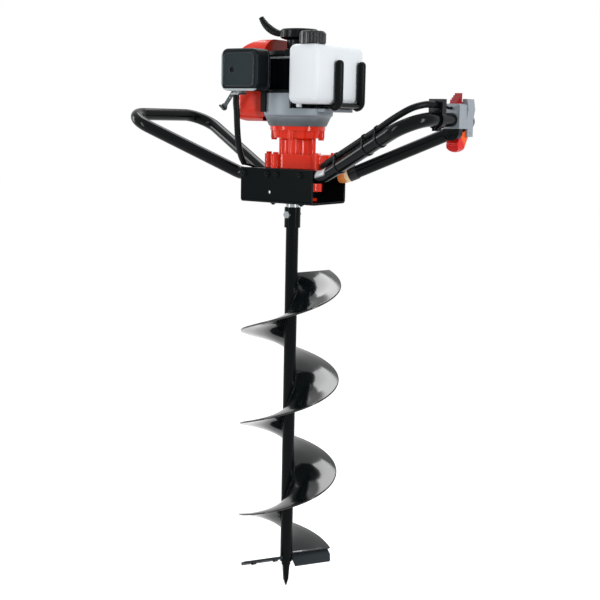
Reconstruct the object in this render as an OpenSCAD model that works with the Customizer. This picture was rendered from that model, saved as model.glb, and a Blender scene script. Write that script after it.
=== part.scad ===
// Petrol earth auger: a two-loop handle frame carries a two-stroke engine, a centrifugal clutch and a
// two-stage gear case that turns a helical digging bit.
// Millimetres, +Z up along the bit, origin at the tip of the pilot point, +X towards the throttle handle.

/* [Auger bit] */
// Length of the bit from the point to the mouth of its socket
bit_len = 785; // [600:5:1000]
// Outside diameter of the flight
flight_d = 200; // [120:5:300]
// Rise of the flight in one turn
flight_pitch = 192; // [140:4:240]
// Thickness of the flight plate
flight_t = 4; // [3:0.5:6]
// Outside diameter of the bit's tube
shaft_d = 25; // [20:1:32]
// Bare tube between the socket and the flight
bare_len = 95; // [40:5:200]
// Outside diameter of the drive socket
socket_d = 32; // [28:1:40]
// Length of the drive socket
socket_len = 40; // [34:1:60]
// Length of the pilot point below the tube
point_len = 54; // [40:1:80]
// Width of a cutting blade along its slope
blade_w = 36; // [24:1:44]
// Thickness of a cutting blade
blade_t = 5; // [4:0.5:8]

/* [Handle frame] */
// Length of the frame channel
frame_len = 171; // [150:1:220]
// Width of the frame channel
frame_w = 115; // [110:1:140]
// Height of the frame channel
frame_h = 67; // [66:1:80]
// Plate thickness of the channel
plate_t = 4; // [3:0.5:5]
// Outside diameter of the handle tube
tube_d = 25.4; // [22:0.2:26]
// Wall thickness of the handle tube
tube_wall = 2; // [1.5:0.1:3]
// Distance from the drive axis to each crossbar
reach = 339; // [280:1:420]
// Distance between the two corners of a handle loop
loop_w = 253; // [220:1:300]
// Rise of the crossbars above the tubes in the channel
loop_rise = 112; // [60:1:160]
// Bend radius at the corners of a loop
corner_r = 45; // [40:1:55]
// Diameter of the handle bolts
bolt_d = 8; // [6:1:8]

/* [Gear case] */
// Module of the gears
gear_module = 1.25; // [1.2:0.05:1.3]
// Teeth on the clutch pinion
pinion_teeth = 10; // [10:2:12]
// Teeth on the first layshaft gear
lay_gear_teeth = 48; // [44:2:50]
// Teeth on the layshaft pinion
lay_pinion_teeth = 12; // [12:2:14]
// Teeth on the output gear
output_teeth = 60; // [56:2:62]
// Diameter of the output shaft in its bearings
output_d = 20; // [17:1:20]
// Wall thickness of the castings
cast_t = 4; // [3:0.5:5]
// Height of the neck between the gear case and the clutch cup
neck_h = 31; // [30:1:50]
// Inside radius of the clutch drum
drum_r = 38; // [34:1:38]

/* [Engine] */
// Outside radius of the fan housing
fan_r = 68; // [66:1:80]
// Height of the fan housing
fan_h = 62; // [58:1:70]
// Height of the crankcase above the fan housing
crank_h = 79; // [74:1:95]
// Radius of the recoil starter's drum cover
starter_r = 37; // [33:1:42]
// Height of the recoil starter's drum cover
starter_h = 44; // [38:1:56]
// Width of the air filter cover
filter_w = 88; // [70:1:100]
// Height of the air filter cover
filter_h = 79; // [64:1:90]
// Depth of the air filter cover
filter_depth = 37; // [30:1:50]

/* [Fuel tank] */
// Thickness of the tank, away from the engine
tank_x = 68; // [56:1:80]
// Width of the tank, across the engine
tank_y = 164; // [140:1:176]
// Height of the tank
tank_h = 110; // [90:1:125]
// Wall thickness of the tank
tank_wall = 3; // [2:0.5:4]
// Diameter of the fuel cap
cap_d = 48; // [40:1:52]

/* [Hidden] */
$fn = 64;

// Clearances: running fit, seated fit and plain clearance
run_gap = 0.05;
seat_gap = 0.02;
clear_gap = 0.3;
// Small overshoot of a cutting shape past the face that it cuts
cut = 1;

black_paint = "#14191b";
red_cast = "#c3301f";
grey_cast = "#8b949b";
dark_plastic = "#2b3336";
steel = "#a9adb0";

// Heights from the point upwards
frame_gap = 10;
frame_z0 = bit_len + frame_gap;
frame_z1 = frame_z0 + frame_h;
web_z = frame_z0 + plate_t;
tube_r = tube_d / 2;
tube_inner_r = tube_r - tube_wall;
tube_y = frame_w / 2 - plate_t - tube_r - seat_gap;
tube_z = frame_z1 - tube_r - clear_gap;
bar_z = tube_z + loop_rise;

// Gear train: the layshaft lies along +X from the output shaft, and the clutch between them
output_c = gear_module * (output_teeth + lay_pinion_teeth) / 2;
input_c = gear_module * (lay_gear_teeth + pinion_teeth) / 2;
lay_x = output_c;
engine_x = output_c - input_c;
addendum = 0.6 * gear_module;
dedendum = 0.85 * gear_module;
pressure_angle = 20;
backlash = 0.3;
output_gear_r = gear_module * output_teeth / 2 + addendum;
lay_gear_r = gear_module * lay_gear_teeth / 2 + addendum;
gear_face = 7;
gear_space = 1;

// Gear case: a foot that holds the output bearings, a waist between the tubes and a bowl over the frame
bowl_z0 = frame_z1 + 2 * clear_gap;
bowl_h = 14;
flange_h = 13;
bowl_z1 = bowl_z0 + bowl_h;
flange_z1 = bowl_z1 + flange_h;
gear2_z = bowl_z0 + cast_t + gear_space / 2;
gear1_z = gear2_z + gear_face + gear_space;
roof_z = gear1_z + gear_face + gear_space;
bowl_gap = 3;
bowl_r = output_gear_r + bowl_gap + cast_t;
lay_bowl_r = lay_gear_r + bowl_gap + cast_t;
boss_r = 8.5;
case_bolt_r = 3;
bearing_w = 12;
bearing_space = 3;
bearing_r = output_d / 2 + 11;
foot_h = 36;
foot_r = bearing_r + cast_t;
foot_flange_t = 5;
foot_bolt_x = 34;
foot_bolt_y = 19;
waist_r = output_d / 2 + cast_t + cut;
lay_d = 10;
bush_r = lay_d / 2 + 4;
bush_cap = 1.5;
lay_boss_h = 14;
lobe_r = 20;
lobe_h = 44;

// Clutch housing above the bowl: neck, drum cup and engine flange
neck_r = 27;
column_r = 10;
column_x = 27;
neck_z1 = flange_z1 + neck_h;
drum_wall = 3;
drum_h = 17;
cup_gap = 3;
cup_floor_t = 3;
cup_inner_r = drum_r + drum_wall + cup_gap;
cup_r = cup_inner_r + cast_t;
cup_h = drum_h + cup_gap + cup_floor_t;
cup_flange_r = cup_r + 6;
cup_flange_t = 8;
cup_boss_r = 6.5;
cup_draft = 2;
cup_bolt_r = cup_flange_r - cup_boss_r;
cup_bolt_angles = [20, 110, 200, 290];
drum_shaft_d = 15;
drum_bearing_r = drum_shaft_d / 2 + 10;
drum_bearing_w = 11;
fan_z0 = neck_z1 + cup_h;
fan_z1 = fan_z0 + fan_h;
drum_z0 = neck_z1 + cup_floor_t + gear_space;

// Engine block
crank_z1 = fan_z1 + crank_h;
crank_d = 15;
crank_half = 42;
crank_back = 54;
starter_flange_r = 64;
starter_flange_t = 8;
starter_z0 = crank_z1 + clear_gap;
starter_z1 = starter_z0 + starter_h;
port_z = fan_z1 + 41.4;
cylinder_r = 30;
cylinder_len = 60;
cylinder_x1 = engine_x - crank_back - seat_gap;
cylinder_x0 = cylinder_x1 - cylinder_len;
fin_half = 40;
fin_count = 7;
fin_t = 2.2;
fin_end = 4;
fin_corner = 10;
fin_room = 2;
port_r = 9;
port_flange_r = 17;
plug_thread_r = 7;
plug_thread_len = 14;
shroud_half = 53;
port_y = shroud_half + 1;
port_x = cylinder_x1 - 30;
filter_shift = 33;
knob_shift = -16;
shroud_t = 3;
shroud_x0 = cylinder_x0 - 7;
shroud_lap = 7;
shroud_x1 = cylinder_x1 + shroud_lap;
shroud_z0 = fan_z0 + 8;
shroud_z1 = port_z + 62;
plug_hole_r = 12;

// Intake side, in front of the cylinder
insulator_t = 6;
carb_w = 36;
carb_len = 22;
carb_y1 = -port_y - insulator_t - 2 * clear_gap;
carb_y0 = carb_y1 - carb_len;
filter_base_t = 5;
filter_y1 = carb_y0 - clear_gap;
filter_y0 = filter_y1 - filter_base_t - filter_depth;
filter_x = port_x + filter_shift;
filter_corner = 15;
filter_edge = 7;
filter_wall = 2.5;
panel_rim = 9;
panel_sunk = 1.6;
filter_z0 = port_z - filter_h / 2;
knob_r = 6;
knob_x = filter_x + knob_shift;

// Fuel tank beside the crankcase
tank_x0 = engine_x + 28.3;
tank_x1 = tank_x0 + tank_x;
tank_z0 = fan_z0 + 42;
tank_mid_y = 3.5;
tank_y0 = tank_mid_y - tank_y / 2;
tank_z1 = tank_z0 + tank_h;
tank_corner = 13;
neck_tube_r = cap_d / 2 - 5;
cap_x = (tank_x0 + tank_x1) / 2;
cap_y = tank_y0 + 34;
cap_h = 24;
neck_tube_h = 12;
outlet_stub_r = 5;
outlet_stub_h = 6;
rod_r = 4;
sleeve_r = 8;
rod_z = tank_z0 - rod_r - clear_gap;
rod_bend_r = 10;
bar_rod_r = 5;
sleeve_cap = 6;
rod_x = tank_x1 + sleeve_r + clear_gap;
rod_ys = [-15, 62];
rod_top_z = tank_z1 - 27;
lug_x = engine_x + fan_r;

// Throttle control on the +X crossbar
throttle_y0 = 10;
throttle_len = 54;
throttle_y1 = throttle_y0 + throttle_len;
throttle_half = 17;
throttle_top = 29;
throttle_crest = 38;
throttle_low = 30;
shell_bevel = 3;
crest_w = 9;
clamp_len = 14;
clamp_y0 = -48;
clamp_half = 14;
clamp_top = 36;
clamp_ear = 12;
clamp_low = 20;
trigger_w = 24;
pivot_y = throttle_y1 - 11;
pivot_z = bar_z - 23;
pin_r = 2;

// Handle bolts, measured along the channel from the drive axis
left_bolt_x = -77;
right_bolt_x = 57;
bolt_pitch = 56;
bolt_xs = [left_bolt_x, left_bolt_x + bolt_pitch, right_bolt_x - bolt_pitch, right_bolt_x];
bolt_z = tube_z + 2;
tube_end_x = (bolt_xs[1] + bolt_xs[2]) / 2;
tube_end_gap = 2;
hole_gap = 0.25;
head_r = bolt_d * 0.85;
head_h = bolt_d * 0.55;
nut_h = bolt_d * 0.8;

// Legs of the handle loops, which leave the channel's tubes in one bend
base_bend_r = 40;
leg_back = base_bend_r * tan(15) + cut;
leg_x = frame_len / 2 + leg_back + cut;

// Throttle cable: a sleeved run from its bracket under the air filter to the frame, a bare run through the
// channel, a sleeved run along the near leg to the clamp and a bare end to the throttle
sleeve_cable_r = 6;
bare_cable_r = 2.5;
cable_up = 26;
cable_in = 21;
cable_lift = 22;
bracket = [filter_x - 27.7, filter_y1 - 12.1, filter_z0 - 6.5];
drop_run = [[0, 0, 0], [0, 0, -16], [2, 0, -33], [2, 2, -61]];
frame_run = [[-73, -82, 46], [-79, -66, 22], [-82, -52, 8]];
channel_run = [
    [-82, -49, 6], [-79, -40, 4], [-73, -28, 0], [-62, -25, -7], [-50, -26, -17], [-36, -26, -22],
    [0, -26, -22],
    [40, -26, -22], [66, -26, -22], [80, -25, -14], [88, -27, -5], [92, -32, 5]];
leg_run = [0.04, 0.17, 0.34, 0.49, 0.63];
clamp_run = [[-51, -55, 1], [-21, -50, 18], [-6, -32, 25], [0, -14, cable_up], [0, 10, cable_up]];
throttle_run = [[0, -46, cable_up], [0, -24, cable_up - 2], [0, -10, cable_in], [0, 3, cable_in]];
function leg_at(share) = [leg_x, -tube_y, tube_z] * (1 - share) + [reach, -loop_w / 2, bar_z] * share;
cable_route = concat(
    [for (q = drop_run) concat(bracket + q, sleeve_cable_r)],
    [for (q = frame_run) concat([0, 0, frame_z1] + q, sleeve_cable_r)],
    [for (q = channel_run) concat([0, 0, frame_z1] + q, bare_cable_r)],
    [[94, -35, frame_z1 + 7, sleeve_cable_r]],
    [for (share = leg_run) concat(leg_at(share) + [0, 0, cable_lift], sleeve_cable_r)],
    [for (q = clamp_run) concat([reach, clamp_y0, bar_z] + q, sleeve_cable_r)],
    [for (q = throttle_run) concat([reach, throttle_y0, bar_z] + q, bare_cable_r)]);

function unit(v) = v / norm(v);

// Stands its children's +Z along a direction at a point
module along(p, v) {
    u = unit(v);
    translate(p) rotate([0, acos(u[2]), atan2(u[1], u[0])]) children();
}

// Lifts its children
module up(z) translate([0, 0, z]) children();

// Moves its children onto the engine's axis
module at_engine() translate([engine_x, 0, 0]) children();

// Cylinder with a through bore
module ring(r_out, r_in, h) {
    difference() {
        cylinder(r = r_out, h = h);
        up(-cut) cylinder(r = r_in, h = h + 2 * cut);
    }
}

// Rectangle with round corners, as a flat outline
module round_rect(x, y, r) {
    square([x, y - 2 * r], center = true);
    square([x - 2 * r, y], center = true);
    for (i = [-1, 1], j = [-1, 1]) translate([i * (x / 2 - r), j * (y / 2 - r)]) circle(r);
}

// Closed box with every edge round
module round_box(size, r) {
    hull() for (i = [-1, 1], j = [-1, 1], k = [-1, 1])
        translate([i * (size[0] / 2 - r), j * (size[1] / 2 - r), k * (size[2] / 2 - r)])
            sphere(r, $fn = 32);
}

// Round rod through a list of corner points, with one bend radius for each inner corner
module bent_rod(points, bends, r) {
    last = len(points) - 1;
    back = [for (i = [0:last]) i == 0 || i == last ? 0 :
        bends[i - 1] * tan((180 - corner_angle(points, i)) / 2)];
    for (i = [0:last - 1]) {
        v = points[i + 1] - points[i];
        along(points[i] + unit(v) * back[i], v) cylinder(r = r, h = norm(v) - back[i] - back[i + 1]);
    }
    for (i = [1:last - 1]) rod_bend(points, i, bends[i - 1], back[i], r);
}

function corner_angle(points, i) =
    acos(unit(points[i - 1] - points[i]) * unit(points[i + 1] - points[i]));

// One bend about the centre that is tangent to both straight runs, let into them by a small angle
module rod_bend(points, i, bend, back, r) {
    lap = 1;
    u = unit(points[i - 1] - points[i]);
    v = unit(points[i + 1] - points[i]);
    centre = points[i] + unit(u + v) * norm([bend, back]);
    x = unit(points[i] + u * back - centre);
    z = unit(cross(x, points[i] + v * back - centre));
    y = cross(z, x);
    multmatrix([
        [x[0], y[0], z[0], centre[0]],
        [x[1], y[1], z[1], centre[1]],
        [x[2], y[2], z[2], centre[2]],
        [0, 0, 0, 1]])
        rotate([0, 0, -lap]) rotate_extrude(angle = 180 - corner_angle(points, i) + 2 * lap)
            translate([bend, 0]) circle(r - seat_gap);
}

// Tube of changing radius swept along a list of [x, y, z, radius] points
module swept_tube(route, sides) {
    n = len(route);
    p = [for (q = route) [q[0], q[1], q[2]]];
    t = [for (i = [0:n - 1]) unit(p[min(i + 1, n - 1)] - p[max(i - 1, 0)])];
    side = [for (i = [0:n - 1]) unit(cross(t[i], abs(t[i][2]) > 0.8 ? [0, 1, 0] : [0, 0, 1]))];
    rings = frames_along(t, 1, [side[0]]);
    vertices = [for (i = [0:n - 1], k = [0:sides - 1])
        let (a = 360 * k / sides)
        p[i] + route[i][3] * (cos(a) * rings[i] + sin(a) * cross(t[i], rings[i]))];
    walls = [for (i = [0:n - 2], k = [0:sides - 1]) let (
        a = i * sides + k, b = i * sides + (k + 1) % sides)
        each [[a, a + sides, b + sides], [a, b + sides, b]]];
    ends = [[for (k = [0:sides - 1]) k], [for (k = [sides - 1:-1:0]) (n - 1) * sides + k]];
    polyhedron(vertices, concat(walls, ends));
}

// Side vectors carried along the tangents with no twist
function frames_along(t, i, done) = i == len(t) ? done :
    frames_along(t, i + 1, concat(done, [unit(done[i - 1] - (done[i - 1] * t[i]) * t[i])]));

// Hexagon-headed screw along +Z, with its head above zero
module hex_screw(d, length) {
    cylinder(r = d * 0.95, h = d * 0.65, $fn = 6);
    up(-length) cylinder(d = d, h = length);
}

// Hexagon nut on +Z, with its bore
module hex_nut(d) {
    difference() {
        cylinder(r = d * 0.95, h = d * 0.8, $fn = 6);
        up(-cut) cylinder(d = d + 2 * seat_gap, h = d * 0.8 + 2 * cut);
    }
}

// Involute spur gear outline with one tooth centred on +X
function involute(base, a)
    = [base * (cos(a) + a * PI / 180 * sin(a)), base * (sin(a) - a * PI / 180 * cos(a))];
function roll_angle(base, r) = r <= base ? 0 : sqrt(pow(r / base, 2) - 1) * 180 / PI;
function turned(p, a) = [p[0] * cos(a) - p[1] * sin(a), p[0] * sin(a) + p[1] * cos(a)];
function flank(teeth) = let (
    pitch_r = gear_module * teeth / 2,
    base = pitch_r * cos(pressure_angle),
    tip = pitch_r + addendum,
    root = pitch_r - dedendum,
    start = max(base, root),
    half = 90 / teeth - (backlash / 2) / pitch_r * 90 / PI,
    on_pitch = involute(base, roll_angle(base, pitch_r)),
    shift = -half - atan2(on_pitch[1], on_pitch[0]))
    concat(root < base ? [turned([root, 0], shift)] : [],
        [for (s = [0, 0.5, 1]) turned(involute(base, roll_angle(base, start + s * (tip - start))), shift)]);
function tooth(teeth) = let (f = flank(teeth), n = len(f))
    concat(f, [for (i = [n - 1:-1:0]) [f[i][0], -f[i][1]]]);
module gear_outline(teeth) {
    polygon([for (k = [0:teeth - 1]) each [for (p = tooth(teeth)) turned(p, 360 * k / teeth)]]);
}

// Auger bit

flight_phase = 295;
flight_z0 = point_len + 12;
flight_z1 = bit_len - socket_len - bare_len;
flight_end = flight_phase + 360 * flight_z0 / flight_pitch;
blade_slope = 27;
blade_r = flight_d / 2 - 4;
steps_a_turn = 48;
flight_inner_r = (shaft_d / 2 + seat_gap) / cos(180 / steps_a_turn);
tube_bore_r = shaft_d / 2 - 3;
spigot_len = 22;

module auger_tube() color(black_paint) {
    up(point_len)
        ring(shaft_d / 2, tube_bore_r, bit_len - socket_len - point_len + spigot_len / 2);
}

// Socket sleeve: welded over the top of the tube, and bored above it for the output shaft
module auger_socket() color(black_paint) {
    difference() {
        up(bit_len - socket_len) cylinder(d = socket_d, h = socket_len);
        up(bit_len - socket_len - cut)
            cylinder(r = shaft_d / 2 + seat_gap, h = spigot_len / 2 + cut + seat_gap);
        up(bit_len - socket_len) cylinder(r = output_d / 2 + seat_gap, h = socket_len + cut);
        up(pin_z) rotate([90, 0, 0])
            cylinder(d = pin_d + 2 * seat_gap, h = 2 * socket_d, center = true);
    }
}

pin_d = 8;
pin_z = bit_len - socket_len + 26;
pin_head_h = 4;
module drive_pin() color(steel) {
    translate([0, -socket_d / 2 - seat_gap, pin_z]) rotate([90, 0, 0])
        hex_screw(pin_d, socket_d + 2 * seat_gap + pin_head_h);
    translate([0, socket_d / 2 + seat_gap, pin_z]) rotate([-90, 0, 0])
        cylinder(r = pin_d * 0.9, h = pin_head_h, $fn = 6);
}

// Helicoid plate wound right-handed round the tube
module auger_flight() color(black_paint) {
    turns = (flight_z1 - flight_z0) / flight_pitch;
    steps = ceil(turns * steps_a_turn);
    corners = [
        [flight_inner_r, 0], [flight_d / 2, 0], [flight_d / 2, flight_t], [flight_inner_r, flight_t]];
    vertices = [for (i = [0:steps], c = corners) let (
        z = flight_z0 + (flight_z1 - flight_z0) * i / steps,
        a = flight_phase + 360 * z / flight_pitch)
        [c[0] * cos(a), c[0] * sin(a), z + c[1]]];
    walls = [for (i = [0:steps - 1], k = [0:3]) let (a = i * 4 + k, b = i * 4 + (k + 1) % 4)
        each [[a, b + 4, a + 4], [a, b, b + 4]]];
    polyhedron(vertices, concat(walls, [[3, 2, 1, 0], [for (k = [0:3]) steps * 4 + k]]));
}

// Two flat blades at the foot of the bit, one under the end of the flight and one opposite
module at_blade(i) {
    rotate([0, 0, flight_end + 180 * i])
        up(flight_z0 - blade_t / cos(blade_slope) - blade_drop)
        rotate([blade_slope, 0, 0]) children();
}

blade_lap = 12;
// Drop of a blade below the flight's end, so that the flight's flatter rim clears the blade over the lap
blade_drop = blade_lap * (tan(blade_slope) - flight_pitch / (PI * flight_d)) + clear_gap;
blade_inner = shaft_d / 2 - 1;
module cutting_blades() color(black_paint) {
    for (i = [0, 1]) difference() {
        at_blade(i) translate([0, blade_lap - blade_w, 0]) difference() {
            linear_extrude(blade_t) polygon([
                [blade_inner, 0], [blade_r - 6, 0], [blade_r, blade_w * 0.45], [blade_r, blade_w],
                [blade_inner, blade_w]]);
            translate([0, -blade_t * 0.4, 0]) rotate([-35, 0, 0])
                translate([0, -blade_w, -2 * blade_t]) cube([flight_d, blade_w, 2 * blade_t]);
            for (x = blade_bolt_xs) translate([x, blade_w - blade_lap / 2, -cut])
                cylinder(d = blade_bolt_d + 2 * seat_gap, h = blade_t + 2 * cut);
        }
        cylinder(r = shaft_d / 2 + seat_gap, h = bit_len);
    }
}

blade_bolt_d = 6;
blade_bolt_xs = [shaft_d / 2 + 14, blade_r - 22];
module blade_bolts() color(steel) {
    for (i = [0, 1], x = blade_bolt_xs) at_blade(i) translate([x, blade_lap / 2, -seat_gap])
        mirror([0, 0, 1])
        hex_screw(blade_bolt_d, blade_t);
}

// Flat spear point with a round shank pressed into the tube
module pilot_point() color(black_paint) {
    shank_r = tube_bore_r - seat_gap;
    half = shaft_d / 2 - 5;
    up(point_len - 8) cylinder(r = shank_r, h = 28);
    rotate([90, 0, flight_end]) linear_extrude(flight_t * 1.5, center = true) polygon([
        [0, 0], [half * 0.62, 14], [half, point_len - 4], [-half, point_len - 4], [-half * 0.62, 14]]);
}

// Gear train

module output_shaft() color(steel) {
    top = gear2_z + gear_face;
    z0 = bit_len - socket_len + spigot_len / 2 + clear_gap;
    difference() {
        union() {
            up(z0) cylinder(d = output_d, h = top - z0);
            up(frame_z0 - frame_gap + clear_gap)
                cylinder(r = output_d / 2 + 3, h = frame_gap);
        }
        up(pin_z) rotate([90, 0, 0])
            cylinder(d = pin_d + 2 * seat_gap, h = 2 * socket_d, center = true);
    }
}

module output_gear() color(steel) {
    up(gear2_z) difference() {
        linear_extrude(gear_face) gear_outline(output_teeth);
        up(-cut) cylinder(r = output_d / 2 + seat_gap, h = gear_face + 2 * cut);
    }
}

// Layshaft with its pinion cut in one piece
module layshaft() color(steel) {
    translate([lay_x, 0, 0]) {
        up(bowl_z0 - lay_boss_h + cast_t)
            cylinder(d = lay_d, h = flange_z1 - bowl_z0 + lay_boss_h - 2 * cast_t);
        up(gear2_z) rotate([0, 0, 180 / lay_pinion_teeth])
            linear_extrude(gear_face) gear_outline(lay_pinion_teeth);
    }
}

module layshaft_gear() color(steel) {
    translate([lay_x, 0, gear1_z]) difference() {
        linear_extrude(gear_face) gear_outline(lay_gear_teeth);
        up(-cut) cylinder(r = lay_d / 2 + seat_gap, h = gear_face + 2 * cut);
        for (a = [0:60:300]) rotate([0, 0, a]) translate([lay_gear_r * 0.55, 0, -cut])
            cylinder(r = 5.5, h = gear_face + 2 * cut);
    }
}

// Drum, shaft and pinion in one piece
module clutch_drum() color(steel) at_engine() {
    difference() {
        up(drum_z0) cylinder(r = drum_r + drum_wall, h = drum_h);
        up(drum_z0 + cast_t) cylinder(r = drum_r, h = drum_h);
        for (a = [0:60:300]) rotate([0, 0, a]) translate([drum_r * 0.62, 0, drum_z0 - cut])
            cylinder(r = 5, h = cast_t + 2 * cut);
    }
    up(gear1_z + gear_face) cylinder(d = drum_shaft_d, h = drum_z0 - gear1_z - gear_face);
    up(gear1_z) rotate([0, 0, 180 / pinion_teeth])
        linear_extrude(gear_face) gear_outline(pinion_teeth);
}

shoe_gap = 1;
carrier_z = drum_z0 + cast_t + 2;
shoe_h = drum_h - cast_t - 4;
module crankshaft() color(steel) at_engine() {
    up(carrier_z) cylinder(d = crank_d, h = starter_z0 + 14 - carrier_z);
    up(carrier_z) intersection() {
        cylinder(r = drum_r - 12, h = shoe_h);
        up(shoe_h / 2) cube([2 * drum_r, 16, shoe_h], center = true);
    }
}

module clutch_shoes() color(grey_cast) at_engine() {
    for (s = [-1, 1]) up(carrier_z) difference() {
        cylinder(r = drum_r - shoe_gap, h = shoe_h);
        up(-cut) cylinder(r = crank_d / 2 + 4, h = shoe_h + 2 * cut);
        translate([-drum_r, s > 0 ? -2 * drum_r + 8 + seat_gap : -8 - seat_gap, -cut])
            cube([2 * drum_r, 2 * drum_r, shoe_h + 2 * cut]);
    }
}

fan_hub_r = 16;
flywheel_r = cup_inner_r - cup_gap;
flywheel_z = fan_z0 + 2 * cast_t;
blade_count = 16;
disc_t = 6;
vane_gap = 5;
vane_t = 3;
vane_h = 18;
module flywheel_fan() color(grey_cast) at_engine() {
    up(flywheel_z) {
        difference() {
            union() {
                cylinder(r = flywheel_r, h = disc_t);
                cylinder(r = fan_hub_r, h = disc_t + vane_h);
            }
            up(-cut) cylinder(r = crank_d / 2 + seat_gap, h = disc_t + vane_h + 2 * cut);
        }
        for (i = [0:blade_count - 1]) rotate([0, 0, 360 * i / blade_count])
            translate([fan_hub_r + vane_gap, -vane_t / 2, disc_t - cut])
                cube([flywheel_r - fan_hub_r - 2 * vane_gap, vane_t, vane_h]);
    }
}

// Frame and handles

channel_bend = 7;
// Channel outline open at the top, with round lower corners
module trough(w, h, r) {
    translate([-w / 2, r]) square([w, h - r]);
    translate([-w / 2 + r, 0]) square([w - 2 * r, r]);
    for (i = [-1, 1]) translate([i * (w / 2 - r), r]) circle(r);
}

accessory_x = -16;
accessory_z = 21;
accessory_r = 3.3;
module frame_channel() color(black_paint) {
    difference() {
        translate([-frame_len / 2, 0, frame_z0]) rotate([90, 0, 90]) linear_extrude(frame_len)
            difference() {
                trough(frame_w, frame_h, channel_bend);
                translate([0, plate_t]) trough(frame_w - 2 * plate_t, frame_h, channel_bend - plate_t);
            }
        for (x = bolt_xs) translate([x, 0, bolt_z]) rotate([90, 0, 0])
            cylinder(d = bolt_d + 2 * hole_gap, h = 2 * frame_w, center = true);
        up(frame_z0 - cut) cylinder(r = output_d / 2 + 6, h = plate_t + 2 * cut);
        for (x = [-1, 1], y = [-1, 1]) translate([x * foot_bolt_x, y * foot_bolt_y, frame_z0 - cut])
            cylinder(r = case_bolt_r + hole_gap, h = plate_t + 2 * cut);
        translate([accessory_x, -frame_w / 2 - cut, frame_z0 + accessory_z]) rotate([-90, 0, 0])
            cylinder(r = accessory_r, h = plate_t + 2 * cut);
    }
}

// Loop on one side of the channel, from one tube end to the other
module handle_loop(side) {
    end_x = side * tube_end_x + tube_end_gap / 2;
    path = [
        [end_x, -tube_y, tube_z], [leg_x, -tube_y, tube_z], [reach, -loop_w / 2, bar_z],
        [reach, loop_w / 2, bar_z], [leg_x, tube_y, tube_z], [end_x, tube_y, tube_z]];
    bore = [for (i = [0:5]) path[i] - (i == 0 || i == 5 ? [cut, 0, 0] : [0, 0, 0])];
    bends = [base_bend_r, corner_r, corner_r, base_bend_r];
    difference() {
        mirror([side < 0 ? 1 : 0, 0, 0]) bent_rod(path, bends, tube_r);
        mirror([side < 0 ? 1 : 0, 0, 0]) bent_rod(bore, bends, tube_inner_r);
        for (x = bolt_xs) translate([x, 0, bolt_z]) rotate([90, 0, 0])
            cylinder(d = bolt_d + 2 * hole_gap, h = frame_w - 2 * plate_t, center = true);
    }
}

module left_handle() color(black_paint) handle_loop(-1);
module right_handle() color(black_paint) handle_loop(1);

bolt_len = plate_t + tube_d + nut_h + 3;
module at_handle_bolts() {
    for (x = bolt_xs, s = [-1, 1]) translate([x, s * (frame_w / 2 + seat_gap), bolt_z])
        rotate([s * -90, 0, 0])
        children();
}

// Button-headed bolts with a socket recess
module handle_bolts() color(black_paint) {
    at_handle_bolts() {
        difference() {
            union() {
                cylinder(r = head_r, h = head_h * 0.55);
                up(head_h * 0.55)
                    cylinder(r1 = head_r, r2 = head_r * 0.62, h = head_h * 0.45);
            }
            up(head_h * 0.4) cylinder(r = bolt_d * 0.36, h = head_h, $fn = 6);
        }
        up(-bolt_len) cylinder(d = bolt_d, h = bolt_len);
    }
}

module handle_nuts() color(steel) {
    at_handle_bolts() up(-plate_t - tube_d - nut_h - 3 * seat_gap) hex_nut(bolt_d);
}

bush_len = 12;
bush_t = 1.2;
// Sleeve round the rear tube's bend where it leaves the channel at the throttle side
module leg_bush() color("#c47a3f") {
    slope = unit([reach - leg_x, loop_w / 2 - tube_y, loop_rise]);
    corner = [leg_x, tube_y, tube_z];
    start = [frame_len / 2 + cut / 2, tube_y, tube_z];
    difference() {
        bent_rod([start, corner, corner + slope * (bush_len + leg_back)], [base_bend_r], tube_r + bush_t);
        bent_rod([start - [cut, 0, 0], corner, corner + slope * (bush_len + leg_back + cut)], [base_bend_r],
            tube_r + 2 * seat_gap);
    }
}

// Castings

// Angle and circle of each flange bolt: four round the output gear and two round the layshaft
flange_bolts = concat(
    [for (a = [100, 150, 210, 260]) (bowl_r + 3) * [cos(a), sin(a)]],
    [for (a = [-40, 40]) [lay_x, 0] + (lay_bowl_r + 3) * [cos(a), sin(a)]]);

module flange_outline(grow) {
    belt(bowl_r + grow, lay_bowl_r + grow, lay_x);
    for (p = flange_bolts) translate(p) circle(boss_r + grow);
}

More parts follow.
